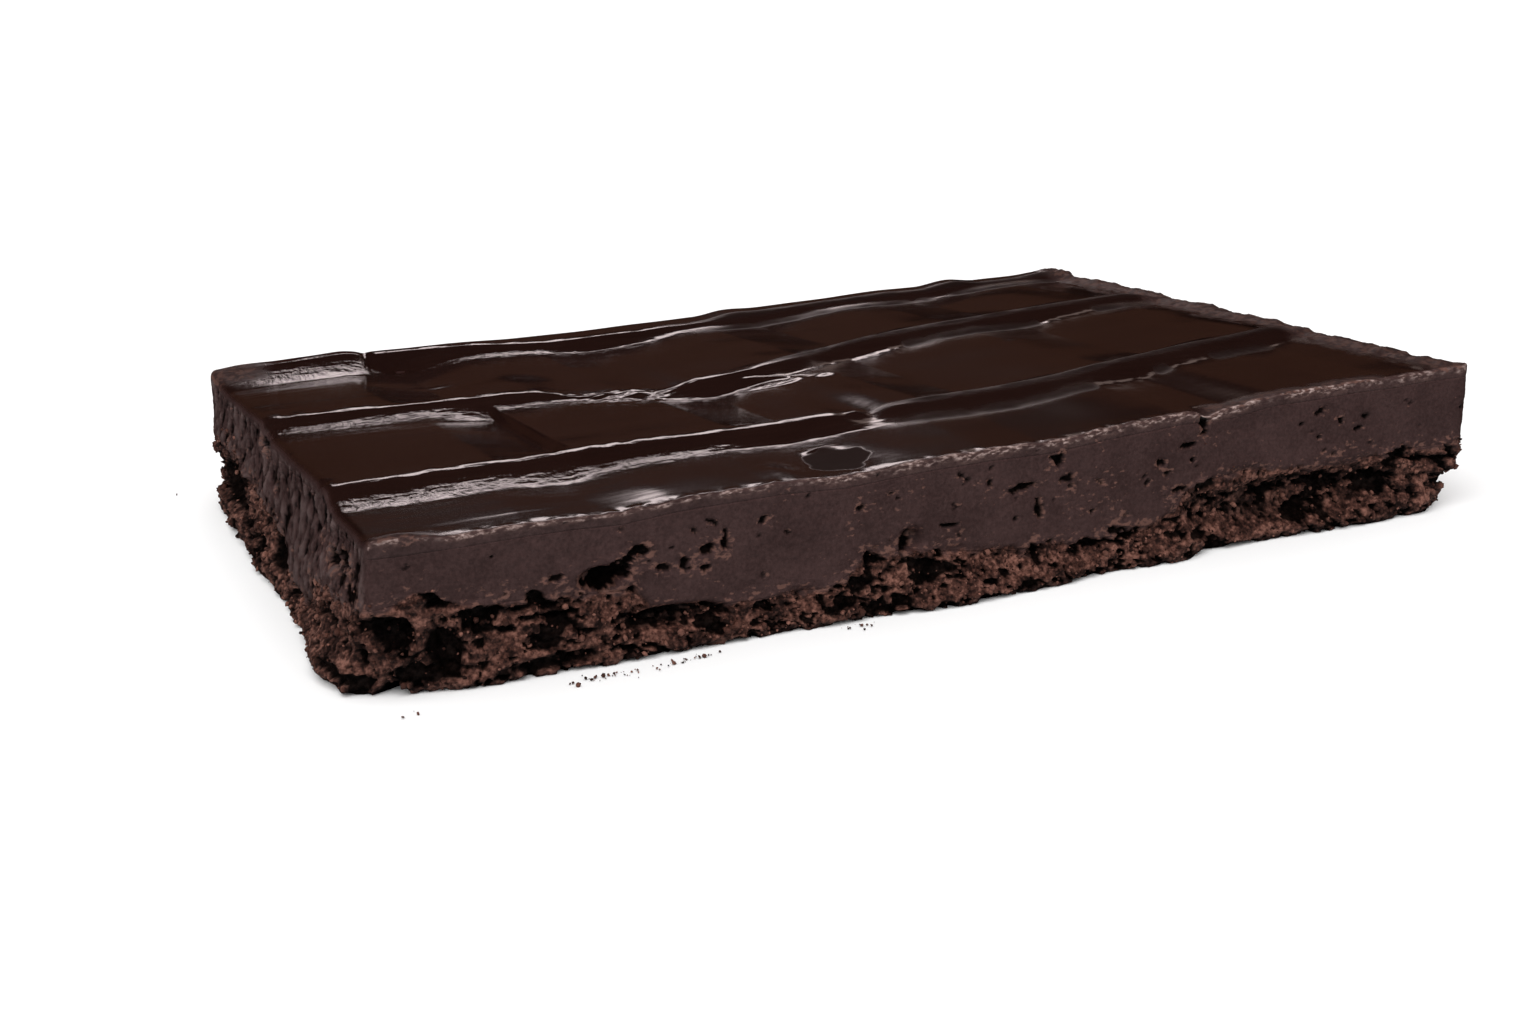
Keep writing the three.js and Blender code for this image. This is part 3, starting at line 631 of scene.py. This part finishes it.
class Skin:
    """A closed surface that grows by grids and loops of points, with values at its points."""

    def __init__(self):
        self.points = []
        self.faces = []
        self.flat = []
        self.looks = {name: [] for name in LOOKS}
        self.count = 0

    def add(self, points, looks):
        points = np.asarray(points, float)
        shape = points.shape[:-1]
        for name, values in self.looks.items():
            values.append(np.broadcast_to(looks.get(name, 0), shape).ravel())
        self.points.append(points.reshape(-1, 3))
        first = self.count
        self.count += self.points[-1].shape[0]
        return np.arange(first, self.count).reshape(shape)

    def fill(self, *corners, flat=False):
        self.faces.append(np.stack([c.ravel() for c in corners], -1))
        self.flat.append(flat)

    def wall(self, grid):
        """Faces of a wall: its grid goes round the outline, then up."""
        ahead = np.roll(grid, -1, 0)
        self.fill(grid[:, :-1], ahead[:, :-1], ahead[:, 1:], grid[:, 1:])

    def cap(self, edge, height, faces_up):
        """A sloping band from the wall's edge to a flat bed with fewer corners."""
        x, y = outline_point(PLACES[::CAP_SHARE, 0], -CAP_INSET)
        bed = self.add(np.stack([x, y, np.full_like(x, height)], -1), {})
        centre = np.broadcast_to(self.add([[0, 0, height]], {}), bed.shape)
        ahead = np.roll(bed, -1)
        parts = [
            (edge, np.roll(edge, -1), np.repeat(bed, CAP_SHARE)),
            (np.roll(edge, -CAP_SHARE)[::CAP_SHARE], ahead, bed),
            (bed, ahead, centre),
        ]
        for a, b, c in parts:
            self.fill(*((a, b, c) if faces_up else (a, c, b)), flat=True)

    def piece(self, name, material):
        mesh = mesh_of(name, np.concatenate(self.points), self.faces, material)
        smooth_faces = [np.full(len(part), not flat) for part, flat in zip(self.faces, self.flat)]
        mesh.polygons.foreach_set("use_smooth", np.concatenate(smooth_faces))
        for kind, values in self.looks.items():
            layer = mesh.attributes.new(kind, "FLOAT", "POINT")
            layer.data.foreach_set("value", np.concatenate(values).astype(np.float32))
        return placed(name, mesh)


def mesh_of(name, points, faces, material):
    """A smooth mesh of points in millimetres and lists of faces."""
    sizes = np.concatenate([np.full(len(part), part.shape[1]) for part in faces])
    corners = np.concatenate([part.ravel() for part in faces])
    starts = np.concatenate([[0], sizes.cumsum()[:-1]])
    mesh = bpy.data.meshes.new(name)
    mesh.vertices.add(len(points))
    mesh.vertices.foreach_set("co", (points * MM).astype(np.float32).ravel())
    mesh.loops.add(len(corners))
    mesh.loops.foreach_set("vertex_index", corners.astype(np.int32))
    mesh.polygons.add(len(sizes))
    mesh.polygons.foreach_set("loop_start", starts.astype(np.int32))
    mesh.polygons.foreach_set("use_smooth", np.ones(len(sizes), bool))
    mesh.update(calc_edges=True)
    mesh.materials.append(material)
    return mesh


def placed(name, mesh):
    made = bpy.data.objects.new(name, mesh)
    bpy.context.scene.collection.objects.link(made)
    return made


# The three layers


def rows_of(grid, looks, first, last):
    part = {name: values[:, first:last + 1] for name, values in looks.items()}
    return grid[:, first:last + 1], part


def layer(name, material, wall, looks, rows, beds):
    """A layer between two rows of the wall, closed by two beds."""
    skin = Skin()
    grid = skin.add(*rows_of(wall, looks, *rows))
    skin.wall(grid)
    skin.cap(grid[:, 0], beds[0], False)
    skin.cap(grid[:, -1], beds[1], True)
    return skin.piece(name, material)


def fading(distance):
    return np.clip(1 - distance / EDGE_FADE, 0, 1)[..., None] ** 2


def border_shift(wall_top):
    """The shift of the grid's points, which follow the wall at the border and fade inwards."""
    shift = wall_top[:, :2] - np.concatenate(outline_corner(PLACES), 1)
    n, m = CELLS_ALONG, CELLS_ACROSS
    front, right = shift[:n + 1], shift[n:n + m + 1]
    back = shift[n + m:2 * n + m + 1][::-1]
    left = np.concatenate([shift[2 * n + m:], shift[:1]])[::-1]
    to_front, to_back = fading(GRID_Y + WIDTH / 2), fading(WIDTH / 2 - GRID_Y)
    to_left, to_right = fading(GRID_X + LENGTH / 2), fading(LENGTH / 2 - GRID_X)
    along = to_front * front[:, None] + to_back * back[:, None]
    across = to_left * left[None] + to_right * right[None]
    corners = to_left * (to_front * front[0] + to_back * back[0])
    corners = corners + to_right * (to_front * front[-1] + to_back * back[-1])
    return along + across - corners


def dull_lines(x, y):
    """Where the crests and feet of the right half have lost their gloss."""
    total = np.zeros(x.shape)
    for row in range(3):
        ahead = follow(CRESTS[row], x) - y
        foot = follow(LIP_WIDTHS, x) + follow(FOOT_WIDTHS[row], x)
        tight = 1 - smooth(0.8, 1.8, follow(TOES[row], x))
        total += np.exp(-(((ahead - 0.8) / 1.6) ** 2))
        total += tight * np.exp(-(((ahead - foot) / 2.4) ** 2))
    uneven = 0.85 + 0.5 * rough(x, y, 7.0, 9, 3)
    total = total * uneven * smooth(-18, 12, x)
    far = np.hypot((x + 31) / 9, (y + 85) / 10) + 0.25 * rough(x, y, 2.0, 7, 2)
    scoop = 1 - smooth(0.9, 1.0, far)
    return np.clip(np.maximum(0.75 * total, scoop), 0, 1)


def icing_looks():
    """Where the icing's top is grainy or torn, and where it is the cut side."""
    x, y = GRID_X, GRID_Y
    grainy = sum(near_crest(x, y + 9, row, 6) for row in range(3)) * smooth(-20, -80, x)
    ragged = rough(x, y, 4.0, 5)
    right = smooth(135, 142, x + 2 * ragged)
    corner = np.exp(-(((x + 143) / 9) ** 2) - ((y + 100) / 4) ** 2)
    corner = corner + smooth(-132, -142, x + 3 * ragged) * smooth(80, 90, y + 3 * ragged)
    lip = smooth(58, 70, x) * smooth(-128, -120, -x) * smooth(-93, -98, y + 1.5 * ragged)
    depth = 0.7 + 1.1 * smooth(-70, -20, x) + 0.8 * ragged
    brim = 1 - smooth(0.3, 1, (y + 100) / np.maximum(depth, 0.4))
    inset = np.minimum(LENGTH / 2 - np.abs(x), WIDTH / 2 - np.abs(y))
    torn = np.clip(np.maximum(np.maximum(right, corner), lip), 0, 1)
    side = 1 - smooth(0, 1.2, inset)
    return {
        "crumbly": np.clip(grainy, 0, 1), "torn": torn, "cut": brim, "side": side,
        "scraped_and_sheen": dull_lines(x, y),
    }


def icing_piece(material, wall, looks):
    """The icing: the grid on top, the cut edge round it and the bed beneath."""
    skin = Skin()
    first = CRUMB_ROWS + FUDGE_ROWS
    edge = skin.add(*rows_of(wall, looks, first, first + ICING_ROWS))
    skin.wall(edge)
    skin.cap(edge[:, 0], ICING_BED + LAYER_GAP / 2, False)
    shift = border_shift(wall[:, -1])
    z = icing_surface(GRID_X, GRID_Y)
    points = np.stack([GRID_X + shift[..., 0], GRID_Y + shift[..., 1], z], -1)
    inner = {name: values[1:-1, 1:-1] for name, values in icing_looks().items()}
    grid = np.zeros(z.shape, int)
    grid[1:-1, 1:-1] = skin.add(points[1:-1, 1:-1], inner)
    n, m = CELLS_ALONG, CELLS_ACROSS
    top = edge[:, -1]
    grid[:, 0] = top[:n + 1]
    grid[-1, :] = top[n:n + m + 1]
    grid[:, -1] = top[n + m:2 * n + m + 1][::-1]
    grid[0, :] = np.concatenate([top[2 * n + m:], top[:1]])[::-1]
    skin.fill(grid[:-1, :-1], grid[1:, :-1], grid[1:, 1:], grid[:-1, 1:])
    return skin.piece("icing_detail", material)


# Crumbs


def ball():
    """Corners and faces of an icosahedron of radius 1."""
    golden = (1 + 5**0.5) / 2
    flat = [(a, b * golden) for a in (-1, 1) for b in (-1, 1)]
    corners = [(0, a, b) for a, b in flat] + [(a, b, 0) for a, b in flat] + [(b, 0, a) for a, b in flat]
    corners = np.array(corners) / np.hypot(1, golden)
    side = 2 / np.hypot(1, golden)
    apart = np.linalg.norm(corners[:, None] - corners[None], axis=-1)
    near = np.abs(apart - side) < 0.01
    faces = []
    for a in range(12):
        for b in range(a + 1, 12):
            for c in range(b + 1, 12):
                if near[a, b] and near[b, c] and near[a, c]:
                    out = np.cross(corners[b] - corners[a], corners[c] - corners[a]) @ corners[a] > 0
                    faces.append((a, b, c) if out else (a, c, b))
    return corners, np.array(faces)


def crumbs(name, centres, sizes, rng, material):
    """Uneven crumbs, one round each centre, joined in one mesh."""
    corners, faces = ball()
    turns = np.linalg.qr(rng.normal(size=(len(centres), 3, 3)))[0]
    turns[:, :, 0] *= np.sign(np.linalg.det(turns))[:, None]
    stretch = rng.uniform(0.6, 1.25, (len(centres), 1, 3))
    bumpy = rng.uniform(0.68, 1.2, (len(centres), 12, 1))
    shapes = np.einsum("nij,nkj->nki", turns, corners * bumpy * stretch)
    points = centres[:, None] + shapes * sizes[:, None, None]
    numbers = faces[None] + 12 * np.arange(len(centres))[:, None, None]
    return placed(name, mesh_of(name, points.reshape(-1, 3), [numbers.reshape(-1, 3)], material))


def clinging_crumbs(wall, looks, material):
    """Crumbs that cling to the crumb base, fewer where it is deep."""
    rng = np.random.default_rng(SEED_GRAINS)
    weight = looks["crumbly"] * (1.2 - looks["painted_shade"])
    weight = weight + 0.05 * looks["torn"]
    weight[:, -ICING_ROWS - 8:] = 0
    weight[:, :1] = 0
    chosen = rng.choice(weight.size, CLINGING_CRUMBS, replace=False, p=weight.ravel() / weight.sum())
    centres = wall.reshape(-1, 3)[chosen] + rng.normal(0, 0.15, (len(chosen), 3))
    sizes = np.clip(rng.lognormal(-1.1, 0.5, len(chosen)), 0.16, 1.2)
    centres[:, 2] = np.maximum(centres[:, 2], 0.7 * sizes)
    return crumbs("crumb_grains", centres, sizes, rng, material)


# Loose crumbs on the floor, as [x, y, spread along x, spread along y, number]
LOOSE_GROUPS = [[-98, -108, 6, 1.8, 40], [-82, -107, 5, 1.3, 20], [-36, -106.5, 3, 1, 14],
                [-148, -107, 3, 1, 3], [0, 106, 90, 3, 20]]


def loose_crumbs(material):
    rng = np.random.default_rng(SEED_LOOSE)
    centres = []
    sizes = []
    for x, y, spread_x, spread_y, count in LOOSE_GROUPS:
        size = np.clip(rng.lognormal(-1.3, 0.45, count), 0.12, 0.8)
        where = [rng.normal(x, spread_x, count), rng.normal(y, spread_y, count), 0.6 * size]
        centres.append(np.stack(where, -1))
        sizes.append(size)
    centres = np.concatenate(centres)
    limit_x, limit_y = LENGTH / 2 + 14, WIDTH / 2 + 14
    centres[:, 0] = np.clip(centres[:, 0], -limit_x, limit_x)
    centres[:, 1] = np.clip(centres[:, 1], -limit_y, limit_y)
    return crumbs("loose_crumbs", centres, np.concatenate(sizes), rng, material)


# Materials


def node(tree, kind, inputs, **settings):
    """A new node of a kind, with values or links at its inputs."""
    made = tree.nodes.new("ShaderNode" + kind)
    for name, value in settings.items():
        setattr(made, name, value)
    for name, value in inputs.items():
        if isinstance(value, bpy.types.NodeSocket):
            tree.links.new(value, made.inputs[name])
        else:
            made.inputs[name].default_value = value
    return made


def noise(tree, where, per_mm, detail, stretch=(1, 1, 1)):
    """Noise with so many lumps per millimetre, closer together where it is stretched."""
    size = node(tree, "Mapping", {"Vector": where, "Scale": stretch})
    inputs = {"Vector": size.outputs[0], "Scale": per_mm / MM, "Detail": detail, "Roughness": 0.6}
    return node(tree, "TexNoise", inputs).outputs["Fac"]


def ramp(tree, value, stops):
    """A colour ramp with stops as (position, colour)."""
    made = node(tree, "ValToRGB", {"Fac": value})
    elements = made.color_ramp.elements
    while len(elements) < len(stops):
        elements.new(0.5)
    for element, (position, colour) in zip(elements, stops):
        element.position = position
        element.color = (*colour, 1)
    return made.outputs["Color"]


def span(tree, value, low, high, to_low=0.0, to_high=1.0):
    """Maps one range of a value to another."""
    inputs = {"Value": value, "From Min": low, "From Max": high, "To Min": to_low, "To Max": to_high}
    return node(tree, "MapRange", inputs).outputs[0]


def calc(tree, operation, a, b):
    return node(tree, "Math", {0: a, 1: b}, operation=operation).outputs[0]


def mix(tree, share, a, b, blend="MIX"):
    """Two colours mixed by a share."""
    inputs = {"Factor": share, 6: a, 7: b}
    return node(tree, "Mix", inputs, data_type="RGBA", blend_type=blend).outputs[2]


def attribute(tree, name):
    return node(tree, "Attribute", {}, attribute_name=name).outputs["Fac"]


def new_material(name):
    """An empty material, its tree and the piece's own coordinates."""
    material = bpy.data.materials.new(name)
    material.use_nodes = True
    tree = material.node_tree
    tree.nodes.clear()
    where = node(tree, "TexCoord", {}).outputs["Object"]
    return material, tree, where


def surface(tree, colour, roughness, normal, specular):
    inputs = {"Base Color": colour, "Roughness": roughness, "Normal": normal, "Specular IOR Level": specular}
    shader = node(tree, "BsdfPrincipled", inputs)
    node(tree, "OutputMaterial", {"Surface": shader.outputs[0]})


CRUMB_DARK = (0.011, 0.004, 0.003)
CRUMB_COLOUR = (0.058, 0.0215, 0.015)
CRUMB_PALE = (0.185, 0.082, 0.06)
FUDGE_COLOUR = (0.030, 0.0133, 0.0124)
FUDGE_PALE = (0.051, 0.0247, 0.0232)
FLECK_COLOUR = (0.13, 0.06, 0.045)
# Paler grey of scraped fudge, with a painted sheen, on the ridges of the blade marks
SCRAPED_SHEEN_COLOUR = (0.09, 0.058, 0.055)
CUT_COLOUR = (0.10, 0.054, 0.045)
# Painted highlight along the top of the icing's cut edge
GLINT_COLOUR = (0.36, 0.27, 0.25)
ICING_COLOUR = (0.0098, 0.0038, 0.0030)
ICING_PALE = (0.0130, 0.0054, 0.0042)


def crumb_colour(tree, where):
    patches = calc(tree, "MULTIPLY", noise(tree, where, 0.17, 3, (1, 1, 1.5)), 0.45)
    shade = calc(tree, "ADD", patches, calc(tree, "MULTIPLY", noise(tree, where, 0.75, 5), 0.55))
    return ramp(tree, shade, [(0.42, CRUMB_DARK), (0.51, CRUMB_COLOUR), (0.62, CRUMB_PALE)])


def fudge_colour(tree, where):
    """Greyish brown with fine grain, and reddish flecks where it is torn."""
    broad = noise(tree, where, 0.06, 3)
    grain = noise(tree, where, 1.2, 4)
    shade = calc(tree, "ADD", calc(tree, "MULTIPLY", broad, 0.45), calc(tree, "MULTIPLY", grain, 0.55))
    plain = ramp(tree, shade, [(0.4, FUDGE_COLOUR), (0.62, FUDGE_PALE)])
    specks = noise(tree, where, 0.5, 6, (1, 1, 1.8))
    # Paler grey on the ridges of blade marks: scraped fudge and a painted sheen
    plain = mix(tree, calc(tree, "MULTIPLY", attribute(tree, "scraped_and_sheen"), 0.8), plain, (*SCRAPED_SHEEN_COLOUR, 1))
    torn = span(tree, attribute(tree, "torn"), 0, 1, 0.68, 0.47)
    inputs = {"Value": specks, "From Min": torn, "From Max": calc(tree, "ADD", torn, 0.07)}
    over = node(tree, "MapRange", inputs)
    share = calc(tree, "MULTIPLY", over.outputs[0], 0.75)
    return mix(tree, share, plain, (*FLECK_COLOUR, 1))


def deepened(tree, colour):
    """Darker in pores and hollows, where little light reaches."""
    shade = span(tree, attribute(tree, "painted_shade"), 0.05, 0.7, 1, 0.05)
    return mix(tree, 1.0, colour, shade, "MULTIPLY")


def bump(tree, height, distance, normal=None):
    inputs = {"Height": height, "Distance": distance * MM, "Strength": 1.0}
    if normal is not None:
        inputs["Normal"] = normal
    return node(tree, "Bump", inputs).outputs[0]


def cake_material(name):
    """Crumb and fudge in one: the value crumbly says how much of each a point has."""
    material, tree, where = new_material(name)
    crumbly = attribute(tree, "crumbly")
    colour = deepened(tree, mix(tree, crumbly, fudge_colour(tree, where), crumb_colour(tree, where)))
    coarse = bump(tree, noise(tree, where, 1.1, 5), 0.5)
    fine = bump(tree, noise(tree, where, 1.8, 4), 0.16)
    blend = node(tree, "Mix", {"Factor": crumbly, 4: fine, 5: coarse}, data_type="VECTOR")
    roughness = span(tree, crumbly, 0, 1, 0.58, 0.85)
    surface(tree, colour, roughness, blend.outputs[1], 0.35)
    return material


def grain_material():
    """Crumbs: reddish brown, each a little different."""
    material, tree, where = new_material("crumb grains")
    tone = node(tree, "NewGeometry", {}).outputs["Random Per Island"]
    shade = ramp(tree, tone, [(0.0, CRUMB_DARK), (0.55, CRUMB_COLOUR), (1.0, CRUMB_PALE)])
    grain = noise(tree, where, 1.6, 3)
    colour = mix(tree, 1.0, shade, span(tree, grain, 0.3, 0.7, 0.6, 1.4), "MULTIPLY")
    surface(tree, colour, 0.85, bump(tree, noise(tree, where, 2.2, 3), 0.2), 0.35)
    return material


def icing_material():
    """Dark icing, satin with drag marks; its cut side is fudge, grainy and paler at the edge, where the palest
    flecks are a painted highlight.
    """
    material, tree, where = new_material("icing")
    names = ("crumbly", "torn", "side", "cut")
    crumbly, torn, side, cut = (attribute(tree, name) for name in names)
    broad = noise(tree, where, 0.05, 3, (0.5, 1, 1))
    streaks = noise(tree, where, 0.3, 4, (0.18, 2.6, 1))
    shade = calc(tree, "ADD", calc(tree, "MULTIPLY", broad, 0.5), calc(tree, "MULTIPLY", streaks, 0.5))
    plain = ramp(tree, shade, [(0.35, ICING_COLOUR), (0.65, ICING_PALE)])
    matte = calc(tree, "MAXIMUM", torn, calc(tree, "MAXIMUM", side, cut))
    sides = calc(tree, "MAXIMUM", calc(tree, "MULTIPLY", torn, 0.45), calc(tree, "MAXIMUM", side, cut))
    colour = mix(tree, sides, plain, fudge_colour(tree, where))
    flakes = noise(tree, where, 0.9, 6, (0.6, 1, 1.4))
    patches = span(tree, noise(tree, where, 0.09, 4), 0.42, 0.56, 0.15, 1)
    share = calc(tree, "MULTIPLY", calc(tree, "MULTIPLY", cut, patches), span(tree, flakes, 0.4, 0.58))
    colour = mix(tree, share, colour, (*CUT_COLOUR, 1))
    # A painted highlight: the palest flecks along the top of the cut edge
    edge = calc(tree, "MULTIPLY", span(tree, cut, 0.6, 0.95), patches)
    share = calc(tree, "MULTIPLY", edge, span(tree, flakes, 0.5, 0.66))
    colour = mix(tree, share, colour, (*GLINT_COLOUR, 1))
    grit = bump(tree, noise(tree, where, 1.8, 4), 0.16)
    satin = bump(tree, streaks, 0.015)
    grain = bump(tree, noise(tree, where, 0.55, 4, (1, 0.55, 1)), 0.3, satin)
    satin = node(tree, "Mix", {"Factor": crumbly, 4: satin, 5: grain}, data_type="VECTOR").outputs[1]
    normal = node(tree, "Mix", {"Factor": matte, 4: satin, 5: grit}, data_type="VECTOR")
    dull = span(tree, attribute(tree, "scraped_and_sheen"), 0, 1, 0.12, 1)
    roughness = calc(tree, "MAXIMUM", span(tree, matte, 0, 1, 0.12, 0.58), dull)
    surface(tree, deepened(tree, colour), roughness, normal.outputs[1], 0.5)
    return material


def floor_material():
    """Plain pale floor, with the least unevenness of tone."""
    material, tree, where = new_material("floor")
    tone = ramp(tree, noise(tree, where, 0.01, 2), [(0.3, (0.86, 0.86, 0.86)), (0.7, (0.88, 0.88, 0.88))])
    normal = bump(tree, noise(tree, where, 0.5, 2), 0.01)
    surface(tree, tone, 0.9, normal, 0.0)
    return material


# Stage, light and camera

FLOOR_SIZE = 40  # metres
FLOOR_DROP = 0.0002


def add_floor():
    half = FLOOR_SIZE / 2 / MM
    points = np.array([(-half, -half, 0), (half, -half, 0), (half, half, 0), (-half, half, 0)], float)
    points[:, 2] = -FLOOR_DROP / MM
    floor = placed("floor", mesh_of("floor", points, [np.array([[0, 1, 2, 3]])], floor_material()))
    floor.visible_glossy = False


def aim(azimuth, elevation):
    """The direction at an azimuth from the back towards the right, and an elevation."""
    a, e = radians(azimuth), radians(elevation)
    return Vector((sin(a) * cos(e), cos(a) * cos(e), sin(e)))


def add_strip(name, azimuth, elevation, width, height, radiance, colour=(1, 1, 1), distance=1.6):
    """A lit panel so many degrees wide and high, seen from the cake."""
    light = bpy.data.lights.new(name, "AREA")
    light.shape = "RECTANGLE"
    light.color = colour
    light.size = 2 * distance * tan(radians(width / 2))
    light.size_y = 2 * distance * tan(radians(height / 2))
    light.energy = radiance * pi * light.size * light.size_y
    made = placed(name, light)
    direction = aim(azimuth, elevation)
    made.location = direction * distance
    made.rotation_euler = direction.to_track_quat("Z", "Y").to_euler()
    made.visible_camera = False


def add_soft_sun(name, azimuth, elevation, strength, spread):
    """Soft light from one side, which leaves no glint on the icing."""
    light = bpy.data.lights.new(name, "SUN")
    light.energy = strength
    light.angle = radians(spread)
    made = placed(name, light)
    made.rotation_euler = aim(azimuth, elevation).to_track_quat("Z", "Y").to_euler()
    made.visible_glossy = False


def set_world(ambient):
    """A white backdrop, which lights the cake evenly and leaves no glint on the icing."""
    world = bpy.data.worlds.new("studio")
    world.use_nodes = True
    tree = world.node_tree
    tree.nodes.clear()
    path = node(tree, "LightPath", {})
    white = {"Color": (1, 1, 1, 1)}
    soft, seen = (node(tree, "Background", {**white, "Strength": s}).outputs[0] for s in (ambient, 1.3))
    shown = node(tree, "MixShader", {0: path.outputs["Is Camera Ray"], 1: soft, 2: seen})
    node(tree, "OutputWorld", {"Surface": shown.outputs[0]})
    world.cycles_visibility.glossy = False
    bpy.context.scene.world = world


CAMERA_PLACE = (-0.2316, -0.5066, 0.1557)
CAMERA_YAW = 23.307  # from straight ahead towards the right
CAMERA_PITCH = 15.89  # downwards
CAMERA_ROLL = -2.485
CAMERA_LENS = 46.52
CAMERA_SENSOR = 36


def add_camera():
    data = bpy.data.cameras.new("camera")
    data.lens = CAMERA_LENS
    data.sensor_width = CAMERA_SENSOR
    data.clip_start = 0.02
    data.clip_end = 100
    camera = placed("camera", data)
    forward = aim(CAMERA_YAW, -CAMERA_PITCH)
    right = forward.cross(Vector((0, 0, 1))).normalized()
    up = right.cross(forward)
    roll = radians(CAMERA_ROLL)
    right, up = cos(roll) * right + sin(roll) * up, cos(roll) * up - sin(roll) * right
    rows = Matrix((right, up, -forward)).transposed().to_4x4()
    camera.matrix_world = Matrix.Translation(CAMERA_PLACE) @ rows
    bpy.context.scene.camera = camera


def add_light():
    add_strip("back window", 18, 30, 24, 9, 4.2, (1, 0.85, 0.85))
    add_strip("side window", 38, 30, 16, 9, 0.6, (1, 0.74, 0.66))
    for azimuth in (20, 110, 200, 290):
        add_strip(f"low glow {azimuth}", azimuth, 12.5, 90, 12, 0.045, (1, 0.42, 0.25))
    for azimuth in (135, 225, 290):
        add_strip(f"far window {azimuth}", azimuth, 30, 34, 9, 0.7, (1, 0.85, 0.82))
    add_soft_sun("soft key", 200, 58, 2.6, 70)
    add_soft_sun("left fill", 262, 30, 0.75, 90)
    set_world(0.47)
    bpy.context.scene.view_settings.view_transform = "Standard"


def build_cake():
    """The layers and crumbs, each on the cake's one body."""
    wall, looks = wall_grid()
    last = CRUMB_ROWS + FUDGE_ROWS
    gap = LAYER_GAP / 2
    crumb = layer("crumb_base_detail", cake_material("crumb"), wall, looks, (0, CRUMB_ROWS), (0, CRUMB_BED - gap))
    beds = (CRUMB_BED + gap, ICING_BED - gap)
    fudge = layer("fudge_detail", cake_material("fudge"), wall, looks, (CRUMB_ROWS, last), beds)
    icing = icing_piece(icing_material(), wall, looks)
    grains = grain_material()
    clinging = clinging_crumbs(wall, looks, grains)
    loose = loose_crumbs(grains)
    for piece in (crumb, fudge, icing, clinging, loose):
        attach(piece, "root")
    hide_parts("crumb_base")
    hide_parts("fudge_layer")
    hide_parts("icing")


build_cake()
add_floor()
add_light()
add_camera()
